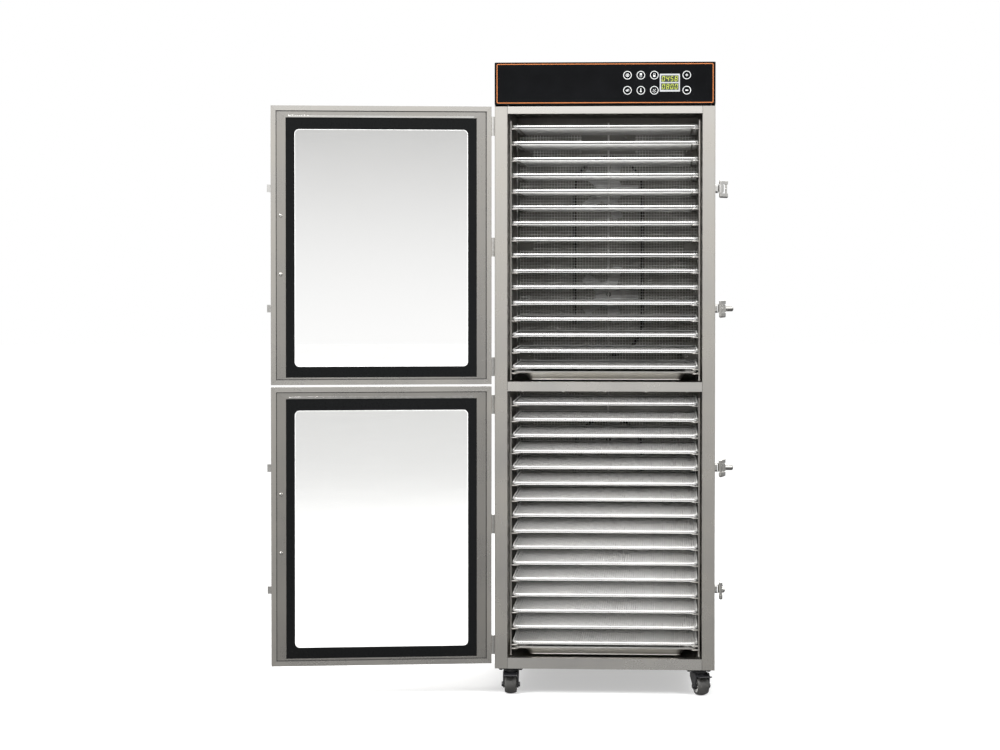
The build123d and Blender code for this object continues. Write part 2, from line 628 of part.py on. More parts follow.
for n, (z, lever_way, bail_way) in LATCHES.items():
    ahead = heading(lever_way)
    aside = heading(lever_way - 90)  # towards the cabinet when the lever lies back
    pivot = Vector(LATCH_X, LATCH_Y, z)
    lever_plane = Plane(origin=pivot, x_dir=ahead, z_dir=(0, 0, 1))
    with BuildPart() as latch_lever:  # hub, neck and a round grip with a domed end
        with BuildSketch(lever_plane.offset(-EAR_Z + GAP)):
            Circle(LEVER_HUB_R)
            with Locations((LATCH_THROW, 0)):
                Circle(2 * BAIL_PIN_R)
        extrude(amount=2 * (EAR_Z - GAP))
        with BuildSketch(lever_plane.offset(-7.0)):
            with Locations((7.0, 1.0)):
                Rectangle(12.0, 10.0)
        extrude(amount=14.0)
        grip_start = pivot + ahead * LEVER_GRIP + aside * LEVER_OFFSET
        with BuildSketch(Plane(origin=grip_start, x_dir=aside, z_dir=ahead)):
            Circle(LEVER_R)
        extrude(amount=LEVER_TIP - LEVER_GRIP)
        fillet(latch_lever.edges().sort_by(lambda e: (e.center() - pivot).dot(ahead))[-1], 5.0)
        with BuildSketch(lever_plane.offset(-EAR_Z)):
            Circle(LEVER_PIN_R + RUN_FIT)
            with Locations((LATCH_THROW, 0)):
                Circle(BAIL_PIN_R + RUN_FIT)
        extrude(amount=2 * EAR_Z, mode=Mode.SUBTRACT)
    save(latch_lever, f"latch_lever_{n}")

    hook = pivot + ahead * LATCH_THROW
    bail_plane = Plane(origin=hook, x_dir=heading(bail_way), z_dir=(0, 0, 1))
    with BuildPart() as latch_bail:  # two lobed arms joined by the pivot pin and the hook pin
        for side in (-1, 1):
            start = BAIL_Z if side > 0 else -BAIL_TOP
            with BuildSketch(bail_plane.offset(start)):
                with Locations((BAIL_REACH / 2, 0)):
                    SlotCenterToCenter(BAIL_REACH, 10.0)
            extrude(amount=BAIL_TOP - BAIL_Z)
        outer = latch_bail.faces().filter_by(Axis.Z).group_by(Axis.Z)
        fillet((outer[0] + outer[-1]).edges(), 4.0)
        with BuildSketch(bail_plane.offset(-BAIL_Z - 1.0)):
            Circle(BAIL_PIN_R)
            with Locations((BAIL_REACH, 0)):
                Circle(BAIL_PIN_R)
        extrude(amount=2 * BAIL_Z + 2.0)
    save(latch_bail, f"latch_bail_{n}")


# ==== Casters ===========================================================================================
def caster_plane(place, z, trail=0.0):
    """A level plane at a caster, whose X axis is the wheel's axle and whose -Y axis is the trail."""
    x, y, turn = place
    side = Vector(cos(radians(turn)), sin(radians(turn)), 0)
    back = Vector(sin(radians(turn)), -cos(radians(turn)), 0)
    return Plane(origin=Vector(x, y, z) + back * trail, x_dir=side, z_dir=(0, 0, 1))


with BuildPart() as caster_plates:  # bolted top plates with the fixed swivel races and king pins
    for x, y, _turn in CASTERS.values():
        plate_z = BASE_Z - 0.1 - PLATE_T
        with BuildSketch(Plane.XY.offset(plate_z)):
            with Locations((x, y)):
                RectangleRounded(66.0, 62.0, 6.0)
        extrude(amount=PLATE_T)
        upright(x, y, FORK_TOP + 4.0, plate_z, CROWN_R - 2.0)
        upright(x, y, FORK_TOP - 4.0, FORK_TOP + 4.0, KING_PIN_R)
        with Locations([(x + dx, y + dy, plate_z) for dx in (-26, 26) for dy in (-24, 24)]):
            Cylinder(4.5, 3.0, align=(Align.CENTER, Align.CENTER, Align.MAX))
save(caster_plates, "caster_plates")

for name, place in CASTERS.items():
    half_axle = FORK_IN + FORK_T + AXLE_NUT_T
    axle_plane = caster_plane(place, WHEEL_R, TRAIL)
    axle_line = Plane(origin=axle_plane.origin, x_dir=axle_plane.y_dir, z_dir=axle_plane.x_dir)
    with BuildPart() as caster_fork:  # swivelling crown, two cheeks, and the axle bolt with its nuts
        with BuildSketch(caster_plane(place, FORK_TOP - 5.0)):
            Circle(CROWN_R)
            Circle(KING_PIN_R + RUN_FIT, mode=Mode.SUBTRACT)
        extrude(amount=8.5)
        for side in (-1, 1):
            offset = side * FORK_IN if side > 0 else side * FORK_IN - FORK_T
            cheek = Plane(
                origin=caster_plane(place, 0.0).origin + axle_plane.x_dir * offset,
                x_dir=-axle_plane.y_dir,
                z_dir=-axle_plane.x_dir,
            )
            with BuildSketch(cheek):
                with BuildLine():
                    Polyline(
                        (-12.0, FORK_TOP - 1.0), (24.0, FORK_TOP - 1.0), (31.0, 50.0), (27.0, 22.0),
                        (TRAIL + 5.0, 16.0), (TRAIL - 5.0, 16.0), (6.0, 26.0), (-12.0, 48.0), close=True,
                    )
                make_face()
            extrude(amount=-FORK_T)
        with BuildSketch(axle_line.offset(-half_axle)):
            Circle(AXLE_R)
        extrude(amount=2 * half_axle)
        for start in (-half_axle, half_axle - AXLE_NUT_T):
            with BuildSketch(axle_line.offset(start)):
                RegularPolygon(AXLE_NUT_R, 6)
            extrude(amount=AXLE_NUT_T)
    save(caster_fork, f"caster_fork_{name}")

    with BuildPart() as caster_wheel:  # crowned tread on a ribbed centre
        wheel_section = Plane(origin=axle_plane.origin, x_dir=axle_plane.x_dir, z_dir=axle_plane.y_dir)
        half = WHEEL_W / 2
        bore = AXLE_R + RUN_FIT
        with BuildSketch(wheel_section):
            with BuildLine():
                Polyline(
                    (-half, WHEEL_R - 8.0), (-half + 4.0, WHEEL_R - 8.5), (-half + 4.0, 9.0), (-half, 8.5),
                    (-half, bore), (half, bore), (half, 8.5), (half - 4.0, 9.0),
                    (half - 4.0, WHEEL_R - 8.5), (half, WHEEL_R - 8.0),
                )
                Line((half, WHEEL_R - 8.0), (half, WHEEL_R - 4.0))
                ThreePointArc((half, WHEEL_R - 4.0), (0, WHEEL_R), (-half, WHEEL_R - 4.0))
                Line((-half, WHEEL_R - 4.0), (-half, WHEEL_R - 8.0))
            make_face()
        revolve(axis=Axis(axle_plane.origin, axle_plane.x_dir))
    save(caster_wheel, f"caster_wheel_{name}")

PEDAL_TRAIL = 26.0
PEDAL_Z = 54.0
PEDAL_BARREL_R = 3.5

for name in BRAKED:
    pivot_plane = caster_plane(CASTERS[name], PEDAL_Z, PEDAL_TRAIL)
    across = Plane(origin=pivot_plane.origin, x_dir=-pivot_plane.y_dir, z_dir=-pivot_plane.x_dir)
    with BuildPart() as brake_pedal:  # foot lever over the wheel, on a round barrel
        with BuildSketch(across.offset(-FORK_IN + GAP)):
            with BuildLine():
                Polyline(
                    (0, 3.4), (3.0, 3.4), (20.0, -2.0), (29.0, 0.5), (29.5, -2.0),
                    (20.0, -5.0), (8.0, -3.0), (0, -3.4), close=True,
                )
            make_face()
            Circle(PEDAL_BARREL_R)
        extrude(amount=2 * (FORK_IN - GAP))
    save(brake_pedal, f"brake_pedal_{name}")
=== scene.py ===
"""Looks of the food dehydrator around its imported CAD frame: materials, woven trays, prints, light, camera.

Everything is in the CAD's frame. Shapes are worked out in millimetres and become metres in their meshes.
"""

from math import atan2, cos, pi, radians, sin, sqrt

import bmesh
import bpy
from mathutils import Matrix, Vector


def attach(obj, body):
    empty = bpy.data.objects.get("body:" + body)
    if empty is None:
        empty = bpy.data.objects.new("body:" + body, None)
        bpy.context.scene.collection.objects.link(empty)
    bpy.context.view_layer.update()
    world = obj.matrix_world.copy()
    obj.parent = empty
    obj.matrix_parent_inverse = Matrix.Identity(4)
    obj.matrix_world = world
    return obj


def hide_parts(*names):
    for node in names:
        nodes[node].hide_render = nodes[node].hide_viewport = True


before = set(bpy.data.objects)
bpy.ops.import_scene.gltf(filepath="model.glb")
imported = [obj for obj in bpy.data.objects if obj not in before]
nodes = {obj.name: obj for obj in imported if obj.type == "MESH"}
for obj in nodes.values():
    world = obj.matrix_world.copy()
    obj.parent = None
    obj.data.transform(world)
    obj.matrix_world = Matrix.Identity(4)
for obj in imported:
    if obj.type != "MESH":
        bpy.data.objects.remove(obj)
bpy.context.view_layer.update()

# ---- The cabinet's dimensions, as in the CAD -----------------------------------------------------------
FRONT, BACK = -295.0, 295.0
SIDE = 291.5
BASE_Z, TOP_Z = 70.0, 1678.0
OPENING = 258.0
FASCIA_LOW = 1566.0
CHAMBERS = {"upper": (833.0, 1543.0), "lower": (99.0, 808.0)}
TRAY_COUNT, TRAY_PITCH, FIRST_TRAY = 16, 42.5, 32.5
TRAY_W, TRAY_D, TRAY_CORNER = 494.0, 400.0, 20.0
TRAY_MIDDLE = FRONT + 20.0 + TRAY_D / 2
GUARD_Y = FRONT + 460.0
FAN_Y = GUARD_Y + 36.0
FAN_OFFSETS = {"upper": (-129.0, 166.0), "lower": (-103.0, 193.0)}
DOORS = {"upper": (826.5, 1562.0), "lower": (84.0, 820.5)}
DOOR_OPEN = radians(170.6)
HINGE = (-SIDE - 4.0, FRONT - 1.0)
EDGE_U, FREE_U = 4.0, 587.0  # a door's two edges, from its hinge axis
INNER_N, PANE_N = 1.0, 7.5  # faces of a door's frame and inner pane, outwards from the hinge axis
LIP_W, LIP_H = 13.0, 5.0
UPRIGHT_W, TOP_W, FOOT_W = 39.0, 31.0, 19.5
CASTER_X, CASTER_INSET = 250.0, 45.0
CASTERS = {
    "front_left": (-CASTER_X, FRONT + CASTER_INSET, 0.0),
    "front_right": (CASTER_X, FRONT + CASTER_INSET, 20.0),
    "rear_left": (-CASTER_X, BACK - CASTER_INSET, 180.0),
    "rear_right": (CASTER_X, BACK - CASTER_INSET, 180.0),
}
WHEEL_R, WHEEL_W, TRAIL = 25.0, 31.0, 18.0
MESH_PITCH = 6.0  # of the woven tray wires

U_DIR = Vector((cos(DOOR_OPEN), -sin(DOOR_OPEN), 0))
N_DIR = Vector((-sin(DOOR_OPEN), -cos(DOOR_OPEN), 0))
Z_DIR = Vector((0, 0, 1))


def tray_levels(chamber):
    """Heights of a chamber's tray rims, from the top down."""
    return [CHAMBERS[chamber][1] - FIRST_TRAY - n * TRAY_PITCH for n in range(TRAY_COUNT)]


# ==== Node materials ====================================================================================
class Graph:
    """A material's node tree, with short calls for the nodes that the finishes share."""

    def __init__(self, name):
        self.material = bpy.data.materials.new(name)
        self.material.use_nodes = True
        self.tree = self.material.node_tree
        self.shader = self.tree.nodes["Principled BSDF"]
        self.place = self.tree.nodes.new("ShaderNodeTexCoord").outputs["Object"]

    def feed(self, socket, value):
        """Link an output to a socket, or set the socket to a constant."""
        if isinstance(value, bpy.types.NodeSocket):
            self.tree.links.new(value, socket)
        else:
            socket.default_value = value

    def math(self, operation, a, b=0.0, clamp=False):
        node = self.tree.nodes.new("ShaderNodeMath")
        node.operation = operation
        node.use_clamp = clamp
        self.feed(node.inputs[0], a)
        self.feed(node.inputs[1], b)
        return node.outputs[0]

    def noise(self, scale, detail=3.0, rough=0.5):
        """Noise over the object's own metres; scale is one number or one for each axis."""
        node = self.tree.nodes.new("ShaderNodeTexNoise")
        node.inputs["Detail"].default_value = detail
        node.inputs["Roughness"].default_value = rough
        if isinstance(scale, tuple):
            stretch = self.tree.nodes.new("ShaderNodeMapping")
            stretch.inputs["Scale"].default_value = scale
            self.feed(stretch.inputs["Vector"], self.place)
            self.feed(node.inputs["Vector"], stretch.outputs[0])
            node.inputs["Scale"].default_value = 1.0
        else:
            self.feed(node.inputs["Vector"], self.place)
            node.inputs["Scale"].default_value = scale
        return node.outputs["Fac"]

    def axes(self):
        node = self.tree.nodes.new("ShaderNodeSeparateXYZ")
        self.feed(node.inputs[0], self.place)
        return node.outputs

    def span(self, value, low, high, to_low, to_high):
        """Value from low..high carried to to_low..to_high, and held at the ends."""
        node = self.tree.nodes.new("ShaderNodeMapRange")
        for socket, number in zip(node.inputs, (value, low, high, to_low, to_high)):
            self.feed(socket, number)
        return node.outputs[0]

    def blend(self, factor, a, b, mode="MIX"):
        node = self.tree.nodes.new("ShaderNodeMix")
        node.data_type = "RGBA"
        node.blend_type = mode
        self.feed(node.inputs[0], factor)
        self.feed(node.inputs[6], a if isinstance(a, bpy.types.NodeSocket) else (*a, 1.0))
        self.feed(node.inputs[7], b if isinstance(b, bpy.types.NodeSocket) else (*b, 1.0))
        return node.outputs[2]

    def bump(self, height, distance, strength=0.5):
        node = self.tree.nodes.new("ShaderNodeBump")
        node.inputs["Strength"].default_value = strength
        node.inputs["Distance"].default_value = distance
        self.feed(node.inputs["Height"], height)
        self.feed(self.shader.inputs["Normal"], node.outputs[0])

    def set(self, **sockets):
        for name, value in sockets.items():
            self.feed(self.shader.inputs[name.replace("_", " ")], value)


def shade(colour, by):
    return tuple(min(1.0, c * by) for c in colour)


WARM_SMEAR = (1.0, 0.985, 0.955)
# painted highlight for the level members and rails, painted shade for a door's recessed strip, and that
# shade's share
PAINTED_HIGHLIGHT, PAINTED_STRIP_SHADE, STRIP_SHADE_SHARE = (0.95, 0.94, 0.92), (0.12, 0.115, 0.11), 0.30
# painted shade of the weave: over its crimps, and on the wires' undersides
CRIMP_SHADE, UNDERSIDE_SHADE = 0.66, 0.30


def paint_weave_shade(g, tone, colour):
    """Woven wire: a painted shade in a chequer where its crimps would turn from the light, and a painted
    shade on its underside.
    """
    x, y, _z = g.axes()
    half_waves = pi / MESH_PITCH * 1000
    crimps = [g.math("SINE", g.math("MULTIPLY", at, k * half_waves)) for at, k in ((x, 2), (y, 1))]
    crimp = g.span(g.math("MULTIPLY", *crimps), -0.5, 0.5, 0.0, 1.0)
    colour = g.blend(crimp, shade(tone, CRIMP_SHADE), colour)
    facing = g.tree.nodes.new("ShaderNodeSeparateXYZ")
    g.feed(facing.inputs[0], g.place.node.outputs["Normal"])
    return g.blend(g.span(facing.outputs[2], -0.7, 0.0, 0.0, 1.0), shade(tone, UNDERSIDE_SHADE), colour)


def steel(
    name, tone, rough, grain, streak=0.10, blotch=0.06, relief=0.00003,
    choose=None, lift=0.10, metal=1.0, calm=1.0, weave_shade=False,
):
    """Brushed or drawn steel: fine streaks along the grain, soft smears, and uneven gloss.

    grain is a noise scale for each axis, small along the brushing. With choose, a pair of grains is picked
    by that mask, for a frame whose members are brushed along their own length; lift paints the first lighter
    as a painted highlight, and choose's second mask paints a door's recessed strip darker as a painted
    shade.
    calm scales down the unevenness of the gloss. The weave flag adds a painted shade of the wire's crimps
    and underside.
    """
    g = Graph(name)
    if choose is None:
        lines = g.noise(grain, 4.0, 0.6)
    else:
        mask, strip = choose(g)
        level, upright = g.noise(grain[0], 4.0, 0.6), g.noise(grain[1], 4.0, 0.6)
        others = g.math("MULTIPLY", upright, g.math("SUBTRACT", 1.0, mask))
        lines = g.math("ADD", g.math("MULTIPLY", level, mask), others)
    smear = g.noise(7.0, 5.0, 0.55)
    marks = g.noise(60.0, 2.0, 0.5)
    colour = g.blend(g.span(lines, 0.3, 0.7, 0.0, 1.0), shade(tone, 1 - streak), shade(tone, 1 + streak))
    smeared = g.blend(1.0, colour, shade(WARM_SMEAR, 1 - blotch), "MULTIPLY")
    colour = g.blend(g.span(smear, 0.35, 0.7, 0.0, 1.0), colour, smeared)
    if choose is not None:
        # Painted highlight on the first members, and painted shade on a door's recessed strip.
        colour = g.blend(g.math("MULTIPLY", mask, lift), colour, PAINTED_HIGHLIGHT)
        colour = g.blend(g.math("MULTIPLY", strip, STRIP_SHADE_SHARE), colour, PAINTED_STRIP_SHADE)
    # Painted shade of the weave: a chequer over its crimps, and darker undersides.
    if weave_shade:
        colour = paint_weave_shade(g, tone, colour)
    polish = g.span(lines, 0.25, 0.75, rough - 0.05 * calm, rough + 0.06 * calm)
    gloss = g.math("ADD", polish, g.span(smear, 0.3, 0.7, -0.03, 0.05))
    gloss = g.math("ADD", gloss, g.span(marks, 0.62, 0.75, 0.0, 0.06 * calm), clamp=True)
    g.set(Base_Color=colour, Metallic=metal, Roughness=gloss)
    g.bump(lines, relief)
    return g.material


def painted(name, tone, worn, rough, metallic=0.0, relief=0.0002, wear=(0.66, 0.74), shine=0.5):
    """Paint, zinc or moulded plastic: fine grain, cloudy tone, and small worn spots."""
    g = Graph(name)
    cloud, fine, chips = g.noise(18.0, 4.0), g.noise(900.0, 2.0), g.noise(150.0, 5.0, 0.6)
    colour = g.blend(g.span(cloud, 0.3, 0.7, 0.0, 1.0), shade(tone, 0.8), shade(tone, 1.25))
    colour = g.blend(g.span(chips, *wear, 0.0, 1.0), colour, worn)
    matt = g.span(fine, 0.3, 0.7, rough - 0.06, rough + 0.08)
    gloss = g.math("ADD", matt, g.span(cloud, 0.3, 0.7, -0.04, 0.06), clamp=True)
    g.set(Base_Color=colour, Metallic=metallic, Roughness=gloss, Specular_IOR_Level=shine)
    g.bump(fine, relief, 0.4)
    return g.material


REFLECTION, GLAZING_IOR = (0.6, 0.6, 0.6, 1.0), 1.14


def glazing(name, low, high, top_shade, foot_shade, ease):
    """Clear double glazing with a painted shade that darkens the pane towards its top, and finger smears in
    its gloss.
    """
    g = Graph(name)
    height = g.span(g.axes()[2], low / 1000, high / 1000, 0.0, 1.0)
    smear = g.noise(5.0, 4.0, 0.55)
    # Painted shade, darker towards the pane's top; finger smears lighten it a little.
    shade_and_smear = g.blend(g.math("POWER", height, ease), foot_shade, top_shade)
    shade_and_smear = g.blend(g.span(smear, 0.35, 0.7, 0.0, 0.06), shade_and_smear, (0.97, 0.972, 0.972))
    through = g.tree.nodes.new("ShaderNodeBsdfTransparent")
    g.feed(through.inputs["Color"], shade_and_smear)
    gloss = g.tree.nodes.new("ShaderNodeBsdfGlossy")
    g.feed(gloss.inputs["Roughness"], g.span(smear, 0.3, 0.7, 0.02, 0.09))
    gloss.inputs["Color"].default_value = REFLECTION
    edge = g.tree.nodes.new("ShaderNodeFresnel")
    edge.inputs["IOR"].default_value = GLAZING_IOR
    mix = g.tree.nodes.new("ShaderNodeMixShader")
    g.feed(mix.inputs[0], edge.outputs[0])
    g.feed(mix.inputs[1], through.outputs[0])
    g.feed(mix.inputs[2], gloss.outputs[0])
    g.feed(g.tree.nodes["Material Output"].inputs["Surface"], mix.outputs[0])
    return g.material


def printed(name, tone, glow=0.0, rough=0.35, shine=0.5):
    """Screen-printed or lit marks on the glass, with slightly uneven ink."""
    g = Graph(name)
    ink = g.noise(400.0, 3.0)
    colour = g.blend(g.span(ink, 0.3, 0.7, 0.0, 1.0), shade(tone, 0.86), shade(tone, 1.1))
    gloss = g.span(ink, 0.3, 0.7, rough - 0.08, rough + 0.1)
    g.set(Base_Color=colour, Roughness=gloss, Specular_IOR_Level=shine)
    if glow:
        g.set(Emission_Color=colour, Emission_Strength=glow)
    g.bump(ink, 0.00002, 0.3)
    return g.material


def door_zones(low, high):
    """Masks for a door: level members against uprights, split along the mitres, for grain and a painted
    highlight on the level members; and strip against lip, for a painted shade on the recessed strip.
    """

    def masks(g):
        x, _y, z = g.axes()
        along = g.math("MULTIPLY", g.math("SUBTRACT", HINGE[0] / 1000, x), 1 / -U_DIR.x)
        hinge_side = g.math("SUBTRACT", along, EDGE_U / 1000)
        side = g.math("MINIMUM", hinge_side, g.math("SUBTRACT", FREE_U / 1000, along))
        foot, top = g.math("SUBTRACT", z, low / 1000), g.math("SUBTRACT", high / 1000, z)
        strip = g.math("GREATER_THAN", g.math("MINIMUM", g.math("MINIMUM", foot, top), side), LIP_W / 1000)
        skewed = []
        for level, width in ((foot, FOOT_W), (top, TOP_W)):
            past_lip = g.math("MAXIMUM", g.math("SUBTRACT", level, LIP_W / 1000), 0.0)
            stretch = (UPRIGHT_W - LIP_W) / (width - LIP_W) - 1
            skewed.append(g.math("ADD", level, g.math("MULTIPLY", past_lip, stretch)))
        return g.math("LESS_THAN", g.math("MINIMUM", *skewed), side), strip

    return masks


def rail_zone(g):
    """Masks for the front frame: its rails against its stiles, for grain and a painted highlight on the
    rails, and no strip.
    """
    x = g.axes()[0]
    return g.math("LESS_THAN", g.math("ABSOLUTE", x), OPENING / 1000), 0.0


ALONG_X, ALONG_Z = (3.0, 620.0, 620.0), (620.0, 620.0, 3.0)
SATIN = (0.63, 0.612, 0.58)
finish = {
    "casing": steel("casing_stainless", SATIN, 0.30, (620.0, 4.0, 620.0), streak=0.03, calm=0.25),
    # The rails get a painted highlight through lift.
    "front": steel(
        "front_stainless", SATIN, 0.25, (ALONG_X, ALONG_Z), 0.008, 0.03, 0.000002,
        rail_zone, lift=0.30, calm=0.1,
    ),
    "rear": steel("rear_stainless", shade(SATIN, 0.95), 0.34, ALONG_X, streak=0.05, calm=0.4),
    "liner": steel("liner_stainless", (0.50, 0.485, 0.46), 0.38, ALONG_Z, blotch=0.12, metal=0.92),
    "wire": steel("wire_stainless", (0.40, 0.39, 0.375), 0.36, (300.0, 300.0, 300.0), streak=0.14),
    # The tray mesh carries the weave's painted shade.
    "mesh": steel(
        "mesh_stainless", (0.97, 0.965, 0.95), 0.45, (420.0, 420.0, 420.0), streak=0.06,
        metal=0.45, weave_shade=True,
    ),
    "rim": steel("rim_stainless", (0.84, 0.83, 0.80), 0.30, (140.0, 140.0, 140.0), streak=0.08),
    "guard": painted("guard_stainless", (0.80, 0.79, 0.765), (0.62, 0.61, 0.59), 0.5, metallic=0.1),
    "plate": steel("plate_stainless", (0.42, 0.41, 0.39), 0.38, ALONG_X, blotch=0.12),
    "pan": steel("pan_stainless", (0.44, 0.435, 0.42), 0.32, ALONG_X),
    # the pan's rolled edges, a much lighter copy of the pan's steel: a painted highlight
    "roll_highlight": steel("pan_roll_highlight", (0.93, 0.925, 0.91), 0.34, ALONG_X, streak=0.04),
    "chrome": steel("chrome", (0.74, 0.735, 0.72), 0.13, (90.0, 90.0, 90.0), streak=0.05, blotch=0.04),
    "fan": painted("fan_aluminium", (0.74, 0.74, 0.73), (0.50, 0.50, 0.49), 0.42, metallic=0.15),
    "heater": steel("heater_sheath", (0.10, 0.092, 0.085), 0.48, (200.0, 200.0, 200.0), 0.3, blotch=0.3),
    "panel": painted(
        "panel_black", (0.0026, 0.0028, 0.0032), (0.005, 0.005, 0.006), 0.14, relief=0.00001, shine=0.05
    ),
    "board": painted("board_green", (0.03, 0.16, 0.07), (0.35, 0.30, 0.12), 0.45),
    "motor": painted("motor_black", (0.05, 0.05, 0.055), (0.16, 0.16, 0.17), 0.42),
    "caster": painted("caster_black", (0.014, 0.014, 0.016), (0.16, 0.155, 0.15), 0.34),
    "tyre": painted("caster_tyre", (0.035, 0.034, 0.032), (0.09, 0.087, 0.08), 0.55, wear=(0.58, 0.72)),
    "hub": painted("caster_hub", (0.50, 0.495, 0.48), (0.30, 0.29, 0.28), 0.45, wear=(0.62, 0.72)),
    "frit": printed("frit_black", (0.0045, 0.0048, 0.005), rough=0.3, shine=0.08),
    # dark seams between the rails and stiles, and a painted shadow at the foot of each door's lip
    "seam_and_shadow": painted("groove_shadow", (0.022, 0.021, 0.020), (0.05, 0.048, 0.046), 0.5),
    "gasket": printed("gasket_pale", (0.80, 0.80, 0.79), rough=0.4),
    "orange": printed("print_orange", (0.36, 0.115, 0.03)),
    # The silver marks also glow faintly: a painted sheen.
    "icon": printed("print_silver", (0.52, 0.53, 0.53), glow=0.04),
    "bezel": printed("print_bezel", (0.30, 0.31, 0.32)),
    "window": printed("display_window", (0.014, 0.018, 0.013)),
    "digit": printed("display_digits", (0.36, 0.42, 0.04), glow=0.30),
}
PANE_SHADES = {  # painted shade at the pane's top, at its foot, and how it eases between them
    "upper": ((0.862, 0.861, 0.858), (1.0, 1.0, 0.998), 2.0),
    "lower": ((0.908, 0.908, 0.904), (0.985, 0.985, 0.983), 1.0),
}
for door, (low, high) in DOORS.items():
    # Doors: the level members get a painted highlight, and the recessed strip a painted shade.
    finish[f"frame_{door}"] = steel(
        f"door_{door}_stainless", SATIN, 0.27, (ALONG_X, ALONG_Z), 0.012, 0.04, 0.000004,
        door_zones(low, high), calm=0.3,
    )
    finish[f"glass_{door}"] = glazing(f"door_glazing_{door}", low, high, *PANE_SHADES[door])

CAD_FINISH = {
    "outer_casing": "casing", "rear_cover": "rear", "base_pan": "rear", "chamber_liner": "liner",
    "front_frame": "front", "control_fascia": "panel", "control_board": "board", "tray_racks": "wire",
    "fan_guards": "guard", "heating_elements": "heater", "fan_motors": "motor", "cabinet_fittings": "chrome",
    "caster_plates": "caster", "trays_lower": "mesh",
}
CAD_PREFIX = {
    "door_frame_upper": "frame_upper", "door_frame_lower": "frame_lower", "door_glass_upper": "glass_upper",
    "door_glass_lower": "glass_lower", "door_fittings": "chrome", "latch": "chrome", "fan_": "fan",
    "caster_fork": "caster", "brake_pedal": "caster", "caster_wheel": "tyre", "tray_upper": "mesh",
    "drip_pan": "pan",
}
for name, node in nodes.items():
    chosen = CAD_FINISH.get(name) or next(f for prefix, f in CAD_PREFIX.items() if name.startswith(prefix))
    node.data.materials.clear()
    node.data.materials.append(finish[chosen])


# ==== Shapes ============================================================================================
class Shape:
    """Vertices and faces in millimetres, gathered from tubes, boxes and flat outlines."""

    def __init__(self):
        self.points, self.faces = [], []

    def put(self, points, faces):
        start = len(self.points)
        self.points += [Vector(p) for p in points]
        self.faces += [[start + i for i in f] for f in faces]

    def rings(self, rings, closed=False):
        """Join rings of equal length into a skin, capped at both ends unless it closes on itself."""
        n, count = len(rings[0]), len(rings)
        faces = []
        for a in range(count if closed else count - 1):
            b = (a + 1) % count
            faces += [[a * n + i, a * n + (i + 1) % n, b * n + (i + 1) % n, b * n + i] for i in range(n)]
        if not closed:
            faces += [list(range(n))[::-1], [(count - 1) * n + i for i in range(n)]]
        self.put([p for ring in rings for p in ring], faces)

    def tube(self, path, radius, sides=8, closed=False, upright=Z_DIR):
        """A round bar along a path of points."""
        path = [Vector(p) for p in path]
        count = len(path)
        rings = []
        for i, p in enumerate(path):
            before = path[i - 1] if i or closed else p
            after = path[(i + 1) % count] if i < count - 1 or closed else p
            way = (after - before).normalized()
            across = way.cross(upright)
            if across.length < 0.05:
                across = way.cross(Vector((0, 1, 0)))
            across.normalize()
            rise = across.cross(way)
            turns = [2 * pi * (k + 0.5) / sides for k in range(sides)]
            rings.append([p + across * radius * cos(t) + rise * radius * sin(t) for t in turns])
        self.rings(rings, closed)

    def box(self, low, high, at=lambda p: p):
        """A box between two corners, each corner passed through at()."""
        xs = [(low[0], high[0])[i & 1] for i in range(8)]
        ys = [(low[1], high[1])[i >> 1 & 1] for i in range(8)]
        zs = [(low[2], high[2])[i >> 2] for i in range(8)]
        faces = [[0, 2, 3, 1], [4, 5, 7, 6], [0, 1, 5, 4], [2, 6, 7, 3], [0, 4, 6, 2], [1, 3, 7, 5]]
        self.put([at(Vector(p)) for p in zip(xs, ys, zs)], faces)

    def slab(self, outline, low, high, at):
        """A flat outline of (a, b) pairs, as thick as low to high; at(a, b, height) places a point."""
        self.rings([[at(a, b, t) for a, b in outline] for t in (low, high)])

    def band(self, outer, inner, low, high, at):
        """A flat ring between two outlines with the same number of points."""
        loops = [(outer, low), (outer, high), (inner, high), (inner, low)]
        self.rings([[at(*loop[i], t) for loop, t in loops] for i in range(len(outer))], closed=True)

    def mesh(self, name):
        """The shape as a mesh in metres, its faces turned outwards."""
        mesh = bpy.data.meshes.new(name)
        mesh.from_pydata([p / 1000 for p in self.points], [], self.faces)
        work = bmesh.new()
        work.from_mesh(mesh)
        bmesh.ops.recalc_face_normals(work, faces=work.faces)
        work.to_mesh(mesh)
        work.free()
        return mesh

    def make(self, name, body, material, slot, smooth=30.0, bevel=0.0):
        """Turn the shape into an object that rides on a body."""
        return show(name, self.mesh(name), body, material, smooth, bevel)


def placed(name, data):
    """A new object of this data, linked into the scene."""
    piece = bpy.data.objects.new(name, data)
    bpy.context.scene.collection.objects.link(piece)
    return piece


def show(name, mesh, body, material, smooth=30.0, bevel=0.0, lift=0.0):
    """Link an object of this mesh, raised by lift millimetres, and let it ride on its body."""
    if not mesh.materials:
        mesh.materials.append(finish[material])
        mesh.shade_smooth()
        mesh.set_sharp_from_angle(angle=radians(smooth))
    piece = placed(name, mesh)
    piece.location.z = lift / 1000
    if bevel:
        edge = piece.modifiers.new("edge", "BEVEL")
        edge.width = bevel / 1000
        edge.segments = 2
        edge.limit_method = "ANGLE"
    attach(piece, body)
    return piece


def rounded(width, height, radius, steps=6, centre=(0.0, 0.0)):
    """Outline of a rectangle with rounded corners, counter-clockwise from its right side."""
    outline = []
    for k, (sx, sy) in enumerate(((1, 1), (-1, 1), (-1, -1), (1, -1))):
        cx, cy = centre[0] + sx * (width / 2 - radius), centre[1] + sy * (height / 2 - radius)
        for i in range(steps + 1):
            t = pi / 2 * (k + i / steps)
            outline.append((cx + radius * cos(t), cy + radius * sin(t)))
    return outline


